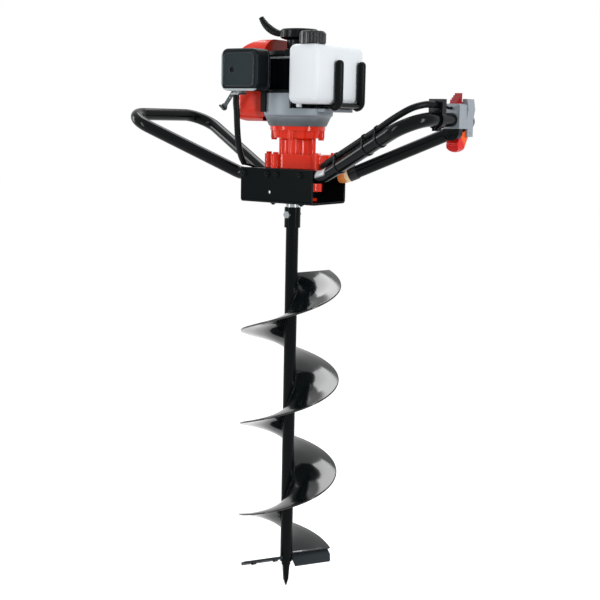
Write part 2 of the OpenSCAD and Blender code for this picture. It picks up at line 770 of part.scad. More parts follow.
module gear_case() color(red_cast) {
    difference() {
        union() {
            up(web_z) cylinder(r = foot_r, h = foot_h);
            up(web_z) linear_extrude(foot_flange_t)
                round_rect(2 * foot_bolt_x + 2 * boss_r, 2 * foot_bolt_y + 2 * boss_r, boss_r);
            up(web_z + foot_h - cut)
                cylinder(r = waist_r, h = bowl_z0 - web_z - foot_h + 2 * cut);
            for (a = [0, 180]) rotate([0, 0, a]) translate([waist_r - 3, -cast_t / 2, web_z + foot_h - cut])
                cube([foot_r - waist_r, cast_t, bowl_z0 - web_z - foot_h + 2 * cut]);
            translate([lay_x, 0, bowl_z0 - lobe_h]) cylinder(r = lobe_r, h = lobe_h + cut);
            up(bowl_z0) linear_extrude(bowl_h) flange_outline(0);
        }
        up(bowl_z0 + cast_t) linear_extrude(bowl_h)
            belt(bowl_r - cast_t, lay_bowl_r - cast_t, lay_x);
        up(web_z - cut) cylinder(r = bearing_r + seat_gap, h = foot_h - cast_t + cut);
        up(web_z) cylinder(r = output_d / 2 + clear_gap, h = flange_z1 - web_z);
        translate([lay_x, 0, bowl_z0 - lay_boss_h + cast_t - gear_space / 2])
            cylinder(r = bush_r + seat_gap, h = lay_boss_h + cast_t);
        for (p = flange_bolts) translate([p[0], p[1], bowl_z0 - cut])
            cylinder(r = case_bolt_r + seat_gap, h = bowl_h + 2 * cut);
        for (x = [-1, 1], y = [-1, 1]) translate([x * foot_bolt_x, y * foot_bolt_y, web_z - cut])
            cylinder(r = case_bolt_r + seat_gap, h = foot_flange_t + 2 * cut);
    }
}

// Upper casting: lid of the gear bowl, columned neck, drum cup and engine flange
module clutch_housing() color(red_cast) {
    difference() {
        union() {
            up(bowl_z1) linear_extrude(flange_h) flange_outline(0);
            at_engine() {
                up(flange_z1 - cut) cylinder(r = neck_r, h = neck_h + 2 * cut);
                for (a = cup_bolt_angles) rotate([0, 0, a]) translate([column_x, 0, flange_z1 - cut])
                    cylinder(r = column_r, h = neck_h + 2 * cut);
                up(neck_z1 - cast_t)
                    cylinder(r1 = neck_r + cast_t, r2 = cup_bolt_r - boss_r, h = cast_t + cut);
                up(neck_z1)
                    cylinder(r1 = cup_r - cup_draft, r2 = cup_r + cup_draft, h = cup_h);
                up(fan_z0 - cup_flange_t) cylinder(r = cup_flange_r, h = cup_flange_t);
                for (a = cup_bolt_angles) rotate([0, 0, a]) translate([cup_bolt_r, 0, neck_z1])
                    cylinder(r = cup_boss_r, h = cup_h);
            }
        }
        up(bowl_z1 - cut) linear_extrude(roof_z - bowl_z1 + cut)
            belt(bowl_r - cast_t, lay_bowl_r - cast_t, lay_x);
        translate([lay_x, 0, roof_z - cut])
            cylinder(r = bush_r + seat_gap, h = flange_z1 - roof_z - bush_cap + cut);
        at_engine() {
            up(bowl_z1) cylinder(r = drum_shaft_d / 2 + clear_gap, h = neck_z1);
            up(flange_z1) cylinder(r = drum_bearing_r + seat_gap, h = neck_z1);
            up(neck_z1 + cup_floor_t) cylinder(r = cup_inner_r, h = cup_h);
            for (a = cup_bolt_angles) rotate([0, 0, a]) translate([cup_bolt_r, 0, neck_z1 - cut])
                cylinder(r = case_bolt_r + seat_gap, h = cup_h + 2 * cut);
        }
        for (p = flange_bolts) translate([p[0], p[1], bowl_z1 - cut])
            cylinder(r = case_bolt_r + seat_gap, h = flange_h + 2 * cut);
    }
}

module case_bolts() color(steel) {
    for (p = flange_bolts) translate([p[0], p[1], flange_z1 + seat_gap])
        hex_screw(2 * case_bolt_r, bowl_h + flange_h);
}

// Bolts through the channel's web into the gear case's foot, with their nuts below
module foot_bolts() color(black_paint) {
    for (x = [-1, 1], y = [-1, 1]) translate([x * foot_bolt_x, y * foot_bolt_y, frame_z0 - seat_gap])
        mirror([0, 0, 1]) {
            hex_screw(2 * case_bolt_r, plate_t + foot_flange_t + seat_gap);
            cylinder(d = 2 * case_bolt_r, h = 2 * case_bolt_r);
        }
}

module housing_bolts() color(steel) at_engine() {
    for (a = cup_bolt_angles) rotate([0, 0, a]) translate([cup_bolt_r, 0, neck_z1 - seat_gap])
        mirror([0, 0, 1])
        hex_screw(2 * case_bolt_r, cup_h + cast_t);
}

// Sealed ball bearing with its shield let in on both sides
module bearing(r_out, r_in, w) {
    shield = 0.6;
    difference() {
        ring(r_out, r_in + run_gap, w);
        for (z = [-cut, w - shield]) up(z)
            ring(r_out * 0.72 + r_in * 0.28, r_in * 0.72 + r_out * 0.28, shield + cut);
    }
}

module output_bearings() color(steel) {
    for (z = [seat_gap, bearing_w + bearing_space]) up(web_z + z)
        bearing(bearing_r, output_d / 2, bearing_w);
}

module layshaft_bushes() color("#b08d57") {
    translate([lay_x, 0, bowl_z0 - lay_boss_h + cast_t])
        ring(bush_r, lay_d / 2 + run_gap, lay_boss_h - cast_t);
    translate([lay_x, 0, roof_z])
        ring(bush_r, lay_d / 2 + run_gap, flange_z1 - roof_z - bush_cap - seat_gap);
}

module drum_bearings() color(steel) at_engine() {
    for (z = [flange_z1 + seat_gap, neck_z1 - drum_bearing_w - bush_cap]) up(z)
        bearing(drum_bearing_r, drum_shaft_d / 2, drum_bearing_w);
}

// Engine

// Bowl round the flywheel, cut away under the tank and towards the cylinder, with a shelf for the guard rods
fan_floor_r = cup_flange_r + cup_draft;
fan_cone_h = 17;
fan_round = 4;
pad_h = 3;
shelf_t = 6;
shelf_lap = 11;
module fan_housing() color(grey_cast) {
    t = cast_t;
    difference() {
        union() {
            at_engine() up(fan_z0) {
                rotate_extrude() polygon([
                    [cup_inner_r, 0], [fan_floor_r, 0], [fan_r - fan_round, fan_cone_h],
                    [fan_r, fan_cone_h + fan_round], [fan_r, fan_h], [fan_r - t, fan_h],
                    [fan_r - t, fan_cone_h + fan_round],
                    [fan_r - fan_round - t, fan_cone_h + t / 2], [fan_floor_r - t, t], [cup_inner_r, t]]);
                for (a = cup_bolt_angles) rotate([0, 0, a]) translate([cup_bolt_r, 0, 0])
                    cylinder(r = cup_boss_r, h = t + pad_h);
            }
            translate([lug_x - 2 * shelf_lap, rod_ys[0] - shelf_lap, rod_z - rod_r - seat_gap - shelf_t])
                cube([3 * shelf_lap, rod_ys[1] - rod_ys[0] + 2 * shelf_lap, shelf_t]);
        }
        at_engine() for (a = cup_bolt_angles) rotate([0, 0, a]) translate([cup_bolt_r, 0, fan_z0 - cut])
            cylinder(r = case_bolt_r + seat_gap, h = t + pad_h + 2 * cut);
        translate([tank_x0 - cast_t, -2 * fan_r, rod_z - rod_r - seat_gap])
            cube([2 * fan_r, 4 * fan_r, fan_h]);
        translate([shroud_x1 - 4 * fan_r + clear_gap, -2 * fan_r, shroud_z0 - clear_gap])
            cube([4 * fan_r, 4 * fan_r, fan_h]);
        at_engine() up(fan_z0 + t) cylinder(r = cup_inner_r, h = fan_h);
    }
}

deck_t = 6;
seam_w = 12;
seam_t = 4;
seam_h = 36;
seam_back = 43;
crank_ribs = [-30, -4];
rib_out = 3;
seam_y = sqrt(pow(fan_r + clear_gap, 2) - pow(seam_back - seam_w, 2));
// Block with the crank bore, a deck that closes the fan housing and the flange that carries the starter
module crankcase() color(grey_cast) {
    front = tank_x0 - engine_x - clear_gap;
    difference() {
        at_engine() up(fan_z1 + seat_gap) {
            intersection() {
                cylinder(r = fan_r, h = deck_t);
                translate([-crank_back, -fan_r, 0]) cube([crank_back + front - cast_t, 2 * fan_r, deck_t]);
            }
            translate([-crank_back, -crank_half, 0])
                cube([crank_back + front, 2 * crank_half, crank_h - cut]);
            up(crank_h - starter_flange_t) intersection() {
                cylinder(r = starter_flange_r, h = starter_flange_t - seat_gap);
                translate([-crank_back, -starter_flange_r, 0])
                    cube([crank_back + front, 2 * starter_flange_r, starter_flange_t]);
            }
            translate([-seam_back, -seam_y - seam_t, -seam_h]) cube([seam_w, seam_t, seam_h + deck_t]);
            translate([-seam_back, -seam_y - cut, 0]) cube([seam_w, 4 * seam_t, deck_t]);
            for (s = [-1, 1], x = crank_ribs) translate([x, s * crank_half - rib_out, deck_t - cut])
                cube([seam_t, 2 * rib_out, crank_h - deck_t - starter_flange_t + 2 * cut]);
        }
        at_engine() up(fan_z1 - cut)
            cylinder(r = crank_d / 2 + run_gap, h = crank_h + 2 * cut);
    }
}

// Finned barrel lying along -X, with the intake port in front and the exhaust port behind
module cylinder_barrel() {
    pitch = (cylinder_len - 2 * fin_end - fin_t) / (fin_count - 1);
    intersection() {
        union() {
            translate([cylinder_x0, 0, port_z]) rotate([0, 90, 0])
                cylinder(r = cylinder_r, h = cylinder_len);
            for (i = [0:fin_count - 1]) translate([cylinder_x0 + fin_end + i * pitch, 0, port_z])
                rotate([0, 90, 0])
                linear_extrude(fin_t) round_rect(2 * fin_half, 2 * fin_half, fin_corner);
        }
        shroud_form(-shroud_t - fin_room);
    }
    for (s = [-1, 1]) translate([port_x, 0, port_z]) rotate([s * 90, 0, 0])
        cylinder(r = port_flange_r, h = port_y);
}

module cylinder_block() color(grey_cast) {
    difference() {
        cylinder_barrel();
        for (s = [-1, 1]) translate([port_x, 0, port_z]) rotate([s * 90, 0, 0])
            up(cylinder_r) cylinder(r = port_r, h = port_y);
        translate([cylinder_x0 - cut, 0, port_z]) rotate([0, 90, 0])
            cylinder(r = plug_thread_r + seat_gap, h = plug_thread_len + cut + clear_gap);
    }
}

// Outline of the shroud from above, from the front and from the side
shroud_corner = 24;
shroud_dome = 60;
shroud_crown = 38;
louvre_pitch = 9;
louvre_len = 32;
louvre_h = 4;
louvre_drop = 28;
module shroud_plan(grow) {
    w = shroud_x1 - shroud_x0 + 2 * shroud_corner;
    translate([shroud_x0 + w / 2, 0])
        round_rect(w + 2 * grow, 2 * shroud_half + 2 * grow, shroud_corner + grow);
}
// Block outline with its foot corners and its crown corners rounded apart
module crowned(w, h, foot, crown) {
    translate([-w / 2, foot]) square([w, h - foot - crown]);
    translate([-w / 2 + foot, 0]) square([w - 2 * foot, foot + cut]);
    translate([-w / 2 + crown, h - crown - cut]) square([w - 2 * crown, crown + cut]);
    for (i = [-1, 1]) translate([i * (w / 2 - foot), foot]) circle(foot);
    for (i = [-1, 1]) translate([i * (w / 2 - crown), h - crown]) circle(crown);
}
module shroud_front(grow) {
    w = shroud_x1 - shroud_x0 + 2 * shroud_dome;
    translate([shroud_x0 + w / 2, shroud_z0 - grow])
        crowned(w + 2 * grow, shroud_z1 - shroud_z0 + 2 * grow, shroud_corner + grow, shroud_dome + grow);
}
module shroud_side(grow) {
    h = shroud_z1 - shroud_z0 + 2 * grow;
    translate([0, shroud_z0 - grow])
        crowned(2 * shroud_half + 2 * grow, h, shroud_corner + grow, shroud_crown + grow);
}
module shroud_form(grow) {
    length = shroud_x1 - shroud_x0 + cut;
    intersection() {
        translate([shroud_x0 - cut, 0, 0]) rotate([90, 0, 90]) linear_extrude(length) shroud_side(grow);
        up(shroud_z0 - cut) linear_extrude(shroud_z1 - shroud_z0 + 2 * cut)
            shroud_plan(grow);
        translate([0, 2 * shroud_half, 0]) rotate([90, 0, 0]) linear_extrude(4 * shroud_half)
            shroud_front(grow);
    }
}

// Red cooling shroud: a shell open towards the crankcase, with port and plug holes and rear louvres
module cylinder_shroud() color(red_cast) {
    difference() {
        shroud_form(0);
        intersection() {
            shroud_form(-shroud_t);
            translate([shroud_x0, -shroud_half, shroud_z0])
                cube([shroud_x1 - shroud_x0 - shroud_t, 2 * shroud_half, shroud_z1 - shroud_z0]);
        }
        intersection() {
            translate([cut, 0, 0]) shroud_form(-shroud_t);
            translate([shroud_x0, -shroud_half, shroud_z0])
                cube([2 * (shroud_x1 - shroud_x0), 2 * shroud_half, starter_z0 - shroud_z0 + clear_gap]);
        }
        for (s = [-1, 1]) translate([port_x, 0, port_z]) rotate([s * 90, 0, 0])
            cylinder(r = port_flange_r + cut, h = 2 * shroud_half);
        translate([shroud_x0 - cut, 0, port_z]) rotate([0, 90, 0])
            cylinder(r = plug_hole_r, h = 3 * shroud_t);
        for (i = [0:2]) translate([port_x, shroud_half, port_z - louvre_drop - i * louvre_pitch])
            cube([louvre_len, 4 * shroud_t, louvre_h], center = true);
        at_engine() up(fan_z0 - cut) cylinder(r = fan_r + clear_gap, h = fan_cone_h);
    }
}

plug_hex_h = 7;
plug_core_r = 5.5;
plug_core_len = 26;
module spark_plug() color("#e9e6de") {
    translate([cylinder_x0, 0, port_z]) rotate([0, -90, 0]) {
        up(-plug_thread_len) cylinder(r = plug_thread_r, h = plug_thread_len);
        cylinder(r = plug_thread_r + 2, h = plug_hex_h, $fn = 6);
        up(plug_hex_h - cut) cylinder(r = plug_core_r, h = plug_core_len);
    }
}

// Rubber cap pushed over the plug's insulator, with a round end
plug_cap_r = 9.5;
plug_cap_z = 15;
plug_cap_len = 26;
module plug_cap() color(dark_plastic) {
    translate([cylinder_x0 - plug_cap_z, 0, port_z]) rotate([0, -90, 0]) difference() {
        union() {
            cylinder(r = plug_cap_r, h = plug_cap_len);
            up(plug_cap_len) sphere(plug_cap_r);
        }
        up(-cut)
            cylinder(r = plug_core_r + seat_gap, h = plug_hex_h + plug_core_len - plug_cap_z + clear_gap);
    }
}

// Pressed steel silencer with its seam flange, port flange and outlet
muffler_x = 66;
muffler_y = 46;
muffler_h = 70;
muffler_corner = 14;
muffler_lip = 3;
muffler_stand = 6;
outlet_r = 7;
outlet_wall = 2;
outlet_len = 26;
module muffler() color("#5a5f62") {
    translate([port_x, port_y + clear_gap, port_z]) {
        rotate([-90, 0, 0]) {
            ring(port_flange_r - cut, port_r, muffler_stand);
            up(muffler_stand - cut) linear_extrude(muffler_y)
                round_rect(muffler_x, muffler_h, muffler_corner);
            up(muffler_stand + muffler_y / 2) linear_extrude(muffler_lip)
                round_rect(muffler_x + 2 * muffler_lip, muffler_h + 2 * muffler_lip,
                    muffler_corner + muffler_lip);
        }
        translate([-muffler_x / 4, muffler_y - outlet_r, outlet_r - muffler_h / 2]) rotate([-60, 0, 0])
            ring(outlet_r, outlet_r - outlet_wall, outlet_len);
    }
}

carb_corner = 6;
carb_ear = 5;
module insulator() color("#3b3128") {
    translate([port_x, -port_y - clear_gap, port_z]) rotate([90, 0, 0]) linear_extrude(insulator_t)
        difference() {
            round_rect(carb_w + 2 * carb_ear, carb_w + carb_ear, carb_corner);
            circle(port_r);
        }
}

// Carburettor body with its throat, bowl, throttle shaft cap and adjusting screw boss
bowl_cap_r = 10.5;
shaft_cap_r = 9;
screw_boss_r = 5;
carb_boss_h = 8;
module carburettor() color("#6d7478") {
    half = carb_w / 2 - cut;
    translate([port_x, carb_y1, port_z]) rotate([90, 0, 0]) difference() {
        union() {
            linear_extrude(carb_len) round_rect(carb_w, carb_w, carb_corner);
            linear_extrude(carb_ear) round_rect(carb_w + 2 * carb_ear, carb_w - carb_ear, carb_corner);
            translate([0, half, carb_len / 2]) rotate([-90, 0, 0])
                cylinder(r = shaft_cap_r, h = carb_boss_h + cut);
            translate([0, -half, carb_len / 2]) rotate([90, 0, 0])
                cylinder(r = bowl_cap_r, h = carb_boss_h);
            translate([half, screw_boss_r / 2, carb_len / 2 + cut]) rotate([0, 90, 0])
                cylinder(r = screw_boss_r, h = carb_boss_h);
        }
        up(-cut) cylinder(r = port_r, h = carb_len + 2 * cut);
    }
}

// Back plate with the air hole, the stud of the choke lever and the post of the cover's screw
post_r = 4;
post_gap = 10;
stud_h = 4;
module air_filter_base() color(dark_plastic) {
    translate([0, filter_y1, 0]) rotate([90, 0, 0]) difference() {
        translate([filter_x, port_z]) linear_extrude(filter_base_t)
            round_rect(filter_w, filter_h, filter_corner);
        translate([port_x, port_z, -cut]) cylinder(r = port_r, h = filter_base_t + 2 * cut);
    }
    translate([choke_x, filter_y1 - cut, choke_z]) rotate([-90, 0, 0])
        cylinder(r = stud_r, h = stud_h + cut);
    translate([knob_x, filter_y1 - filter_base_t + cut, port_z]) rotate([90, 0, 0])
        cylinder(r = post_r, h = filter_depth - filter_wall - post_gap + cut);
}

foam_t = 16.6;
foam_rim = 9;
module air_filter_foam() color("#2f3a33") {
    translate([filter_x, filter_y1 - filter_base_t - clear_gap, port_z]) rotate([90, 0, 0]) difference() {
        linear_extrude(foam_t)
            round_rect(filter_w - 2 * foam_rim, filter_h - 2 * foam_rim, filter_corner - foam_rim);
        translate([knob_shift, 0, -cut]) cylinder(r = knob_r + clear_gap, h = filter_depth);
    }
}

// Plate with round corners and a round front edge
module pillow(x, y, corner, edge, h) {
    linear_extrude(h - edge) round_rect(x, y, corner);
    linear_extrude(h) round_rect(x - 2 * edge, y - 2 * edge, corner - edge);
    for (s = [-1, 1]) translate([s * (x / 2 - edge), 0, h - edge]) rotate([90, 0, 0])
        cylinder(r = edge, h = y - 2 * corner, center = true);
    for (s = [-1, 1]) translate([0, s * (y / 2 - edge), h - edge]) rotate([0, 90, 0])
        cylinder(r = edge, h = x - 2 * corner, center = true);
    for (i = [-1, 1], j = [-1, 1]) translate([i * (x / 2 - corner), j * (y / 2 - corner), h - edge])
        rotate_extrude() translate([corner - edge, 0]) circle(edge);
}

// Moulded cover with a round rim, a dished panel and a sunk screw seat
module air_filter_cover() color(dark_plastic) {
    y1 = filter_y1 - filter_base_t - seat_gap;
    translate([filter_x, y1, port_z]) rotate([90, 0, 0]) difference() {
        pillow(filter_w, filter_h, filter_corner, filter_edge, filter_depth);
        up(-cut) linear_extrude(filter_depth - 2 * filter_wall + cut)
            round_rect(filter_w - 5 * filter_wall, filter_h - 5 * filter_wall,
                filter_corner - 2 * filter_wall);
        up(filter_depth - panel_sunk) linear_extrude(filter_wall)
            round_rect(filter_w - 2 * panel_rim, filter_h - 2 * panel_rim, filter_corner - filter_edge);
        translate([knob_shift, 0, -cut]) cylinder(r = knob_r + clear_gap, h = filter_depth + 2 * cut);
    }
}

// Slotted screw that holds the cover on its post
knob_sunk = 3;
slot_w = 1.6;
slot_h = 2;
module air_filter_knob() color("#15191a") {
    translate([knob_x, filter_y0 + knob_sunk, port_z]) rotate([-90, 0, 0]) difference() {
        cylinder(r = knob_r, h = filter_depth - filter_base_t - knob_sunk);
        up(post_gap - cut) cylinder(r = post_r + seat_gap, h = filter_depth);
        translate([-knob_r, -slot_w / 2, -cut]) cube([2 * knob_r, slot_w, slot_h + cut]);
    }
}

// Drum cover of the recoil starter on its neck, with ribs on its flank and the rope's eyelet
drum_cover_h = 19;
starter_neck_r = 24;
starter_step = 3;
starter_crown = 14;
eyelet_z = starter_z1 - drum_cover_h / 2;
eyelet_r = 6.5;
eyelet_len = 8;
flank_rib_w = 2.4;
module starter_cover() color(black_paint) {
    drum_z = starter_h - drum_cover_h;
    difference() {
        union() {
            at_engine() up(starter_z0) {
                rotate_extrude() polygon([
                    [0, 0], [starter_neck_r + starter_step, 0],
                    [starter_neck_r + starter_step, starter_step + cut],
                    [starter_neck_r, 2 * starter_step], [starter_neck_r, drum_z - starter_step],
                    [starter_r - starter_step, drum_z], [starter_r, drum_z + starter_step - cut],
                    [starter_r, starter_h - starter_step - cut],
                    [starter_r - starter_step, starter_h - cut],
                    [starter_r - starter_crown, starter_h], [0, starter_h]]);
                for (a = [0:20:340]) rotate([0, 0, a])
                    translate([starter_r - 2, -flank_rib_w / 2, drum_z + starter_step + cut])
                        cube([flank_rib_w + clear_gap, flank_rib_w, drum_cover_h - 3 * starter_step]);
            }
            translate([engine_x - starter_r + starter_step, 0, eyelet_z]) rotate([0, -90 + pull_tilt, 0])
                cylinder(r = eyelet_r, h = eyelet_len);
        }
        at_engine() up(starter_z0 - cut)
            cylinder(r = starter_neck_r - cast_t, h = drum_z + cut);
        at_engine() up(starter_z0 + drum_z)
            cylinder(r = starter_r - cast_t, h = drum_cover_h - cast_t);
        translate([engine_x - starter_r + starter_step, 0, eyelet_z]) rotate([0, -90 + pull_tilt, 0])
            cylinder(r = rope_r + 2 * clear_gap, h = 3 * eyelet_len, center = true);
    }
}

pull_tilt = 6;
pull = [-cos(pull_tilt), 0, sin(pull_tilt)];
pull_start = [engine_x - starter_r + starter_step, 0, eyelet_z] + (eyelet_len + clear_gap) * pull;
rope_r = 2;
rope_len = 14;
module starter_rope() color("#d8d4c8") {
    along(pull_start - rope_len * pull, pull) cylinder(r = rope_r, h = rope_len - seat_gap);
}

// Ribbed rubber pull grip on an arc that curls upwards, thickest in its middle
grip_len = 64;
grip_steps = 28;
grip_curl = 54;
grip_r = 5;
grip_swell = 2.2;
grip_taper = 0.6;
rib_h = 0.8;
module starter_handle() color("#1a1f21") {
    arc_r = grip_len / (grip_curl * PI / 180);
    swept_tube([for (i = [0:grip_steps]) let (
        s = i / grip_steps,
        a = pull_tilt + grip_curl * s)
        [pull_start[0] - arc_r * (sin(a) - sin(pull_tilt)), 0,
        pull_start[2] + arc_r * (cos(pull_tilt) - cos(a)),
            grip_r + grip_swell * sin(180 * s) - grip_taper * s + (i % 2 == 0 ? 0 : rib_h)]], 10);
}

// Fuel tank and guard

module fuel_tank() color("#eef2f4") {
    size = [tank_x, tank_y, tank_h];
    centre = [(tank_x0 + tank_x1) / 2, tank_mid_y, (tank_z0 + tank_z1) / 2];
    difference() {
        union() {
            translate(centre) round_box(size, tank_corner);
            translate([cap_x, cap_y, tank_z1 - tank_wall])
                cylinder(r = neck_tube_r, h = tank_wall + neck_tube_h);
            translate([tank_x0 + 3 * outlet_stub_r, tank_y0 + 4 * outlet_stub_r, tank_z0 - outlet_stub_h])
                cylinder(r = outlet_stub_r, h = outlet_stub_h + tank_wall);
        }
        translate(centre) round_box(size - 2 * tank_wall * [1, 1, 1], tank_corner - tank_wall);
        translate([cap_x, cap_y, tank_z1 - 2 * tank_wall])
            cylinder(r = neck_tube_r - tank_wall, h = neck_tube_h + 3 * tank_wall);
    }
}

// Screw cap with a knurled skirt that covers the filler neck
cap_bevel = 3;
knurl_r = 1.1;
module fuel_cap() color("#101416") {
    z0 = tank_z1 + clear_gap;
    translate([cap_x, cap_y, z0]) difference() {
        union() {
            cylinder(d = cap_d, h = cap_h - cap_bevel);
            up(cap_h - cap_bevel)
                cylinder(d1 = cap_d, d2 = cap_d - 2 * cap_bevel, h = cap_bevel);
            for (a = [0:15:345]) rotate([0, 0, a]) translate([cap_d / 2, 0, cap_bevel - cut])
                cylinder(r = knurl_r, h = cap_h - 2 * cap_bevel);
        }
        up(-cut) cylinder(r = neck_tube_r + clear_gap, h = neck_tube_h + cut + clear_gap);
    }
}

// Two bent rods that carry the tank and stand up in front of it
module tank_guard() color(black_paint) {
    for (y = rod_ys) {
        bent_rod([[lug_x - shelf_lap, y, rod_z], [rod_x, y, rod_z], [rod_x, y, rod_top_z - sleeve_cap]],
            [rod_bend_r], rod_r);
        translate([lug_x - shelf_lap, y - shelf_lap + cut, rod_z - rod_r])
            cube([shelf_lap, 2 * shelf_lap - 2 * cut, rod_r - cut]);
    }
    mid = rod_bend_r * (1 - cos(45));
    translate([rod_x - mid, rod_ys[0], rod_z + mid]) rotate([-90, 0, 0])
        cylinder(r = bar_rod_r, h = rod_ys[1] - rod_ys[0]);
}

module guard_sleeves() color("#0e1214") {
    h = rod_top_z - rod_z - rod_bend_r;
    for (y = rod_ys) translate([rod_x, y, rod_z + rod_bend_r]) difference() {
        union() {
            cylinder(r = sleeve_r, h = h - sleeve_r);
            up(h - sleeve_r) sphere(sleeve_r);
        }
        up(-cut) cylinder(r = rod_r + seat_gap, h = h - sleeve_cap + cut + seat_gap);
    }
}

// Throttle control

// Places a flat outline drawn in X and Z about the crossbar, and draws it out along the bar
module on_bar(y0, length) {
    translate([reach, y0 + length, bar_z]) rotate([90, 0, 0]) linear_extrude(length) children();
}

// Split clamp on the crossbar that ends the cable's sleeve
clamp_wall = 4;
clamp_slit = 1.6;
clamp_hole_r = 2;
module throttle_clamp() color(black_paint) {
    ear_z = bar_z - (tube_r + clamp_low) / 2;
    difference() {
        on_bar(clamp_y0, clamp_len) {
            circle(tube_r + clamp_wall);
            translate([-clamp_half, 0]) square([2 * clamp_half, clamp_top]);
            translate([-clamp_ear / 2, -clamp_low]) square([clamp_ear, clamp_low]);
        }
        on_bar(clamp_y0 - cut, clamp_len + 2 * cut) circle(tube_r + seat_gap);
        translate([reach - clamp_slit / 2, clamp_y0 - cut, bar_z - clamp_low - cut])
            cube([clamp_slit, clamp_len + 2 * cut, clamp_low]);
        translate([reach, clamp_y0 + clamp_len / 2, ear_z]) rotate([0, 90, 0])
            cylinder(r = clamp_hole_r, h = 2 * clamp_half, center = true);
        on_bar(clamp_y0 - cut, clamp_len + 2 * cut) translate([0, cable_up])
            circle(sleeve_cable_r + clear_gap);
    }
}

// Grey upper shell over the crossbar, with a crest and two cheeks that hold the trigger at its far end
base_len = 14;
cheek_start = 33;
crest_start = 28;
split_z = 15.5;
skin_t = 2;
cable_seat = 5;
module throttle_housing() color(grey_cast) {
    cheek_y = throttle_y0 + cheek_start;
    difference() {
        union() {
            on_bar(throttle_y0, throttle_len) polygon([
                [-throttle_half, -split_z], [throttle_half, -split_z], [throttle_half,
                throttle_top - shell_bevel],
                [throttle_half - shell_bevel, throttle_top], [shell_bevel - throttle_half, throttle_top],
                [-throttle_half, throttle_top - shell_bevel]]);
            on_bar(throttle_y0 + crest_start, throttle_len - crest_start) polygon([
                [0, 0], [throttle_half, 0], [throttle_half + shell_bevel, throttle_crest / 2],
                [throttle_half, throttle_crest], [throttle_half - crest_w, throttle_crest], [0,
                throttle_top]]);
            on_bar(cheek_y, throttle_y1 - cheek_y) translate([-throttle_half, -throttle_low])
                square([2 * throttle_half, throttle_low]);
        }
        on_bar(throttle_y0 - cut, throttle_len + 2 * cut) circle(tube_r + seat_gap);
        translate([reach - trigger_w / 2 - clear_gap, throttle_y0 - cut, bar_z - throttle_low - cut])
            cube([trigger_w + 2 * clear_gap, throttle_len - shell_bevel, throttle_low - tube_r - skin_t]);
        translate([reach, pivot_y, pivot_z]) rotate([0, 90, 0])
            cylinder(r = pin_r + seat_gap, h = 4 * throttle_half, center = true);
        on_bar(throttle_y0 - cut, cable_seat + cut) translate([0, cable_in])
            circle(bare_cable_r + clear_gap);
        translate([reach - switch_w / 2 - clear_gap, switch_y0 - clear_gap,
            bar_z + throttle_top - switch_sunk])
            cube([switch_w + 2 * clear_gap, switch_len + switch_travel + 2 * clear_gap, throttle_crest]);
    }
}

// Black lower shell in front of the cheeks, with a slot that the trigger rises into
base_low = 37;
base_corner = 15;
module throttle_base() color(black_paint) {
    difference() {
        on_bar(throttle_y0, base_len) intersection() {
            translate([0, (base_corner - base_low) / 2])
                round_rect(2 * throttle_half, base_low + base_corner, base_corner);
            translate([-throttle_half, -base_low])
                square([2 * throttle_half, base_low - split_z - clear_gap]);
        }
        on_bar(throttle_y0 - cut, base_len + 2 * cut) circle(tube_r + seat_gap);
        translate([reach - trigger_w / 2 - clear_gap, throttle_y0 + skin_t, bar_z - base_low - cut])
            cube([trigger_w + 2 * clear_gap, base_len, base_low - tube_r - skin_t]);
    }
}

// Finger lever that hangs under the bar and swings up about a pin at its far end
trigger_drop = 22;
trigger_knob_r = 13;
trigger_eye_r = 6;
tip_y = throttle_y0 + 21;
module throttle_trigger() color("#c0261a") {
    knob_z = pivot_z - trigger_drop;
    drop = knob_z - bar_z;
    difference() {
        intersection() {
            translate([reach - trigger_w / 2, 0, 0]) rotate([90, 0, 90]) linear_extrude(trigger_w) {
                translate([pivot_y, pivot_z]) circle(trigger_eye_r);
                translate([tip_y, knob_z]) circle(trigger_knob_r);
                polygon([
                    [pivot_y + 4, pivot_z - trigger_eye_r + 1.5], [pivot_y - 2,
                    pivot_z + trigger_eye_r - 1],
                    [tip_y - trigger_knob_r / 2, pivot_z - 2], [tip_y - trigger_knob_r + 0.5, knob_z + 4],
                    [tip_y + 9, knob_z - 9]]);
            }
            on_bar(tip_y - 2 * trigger_w, 4 * trigger_w) {
                translate([0, drop]) circle(trigger_knob_r);
                translate([-trigger_knob_r, drop]) square([2 * trigger_knob_r, -drop]);
            }
        }
        translate([reach, pivot_y, pivot_z]) rotate([0, 90, 0])
            cylinder(r = pin_r + run_gap, h = 4 * throttle_half, center = true);
    }
}

module trigger_pin() color(steel) {
    translate([reach - throttle_half, pivot_y, pivot_z]) rotate([0, 90, 0])
        cylinder(r = pin_r, h = 2 * throttle_half);
}

switch_w = 14;
switch_len = 22;
switch_travel = 6;
switch_sunk = 5;
switch_y0 = throttle_y0 + 6;
switch_rib_t = 3;
switch_rib_pitch = 5.5;
switch_rib_rise = 4;
// Ribbed sliding stop switch on top of the control, its ribs rising away from the bar's corner
module stop_switch() color("#a81e1a") {
    translate([reach - switch_w / 2, switch_y0, bar_z + throttle_top - switch_sunk + clear_gap]) {
        cube([switch_w, switch_len, switch_sunk + 2 * cut]);
        for (i = [0:3]) translate([0, cut + i * switch_rib_pitch, switch_sunk + cut])
            cube([switch_w, switch_rib_t, (i + 1.5) * switch_rib_rise]);
    }
}

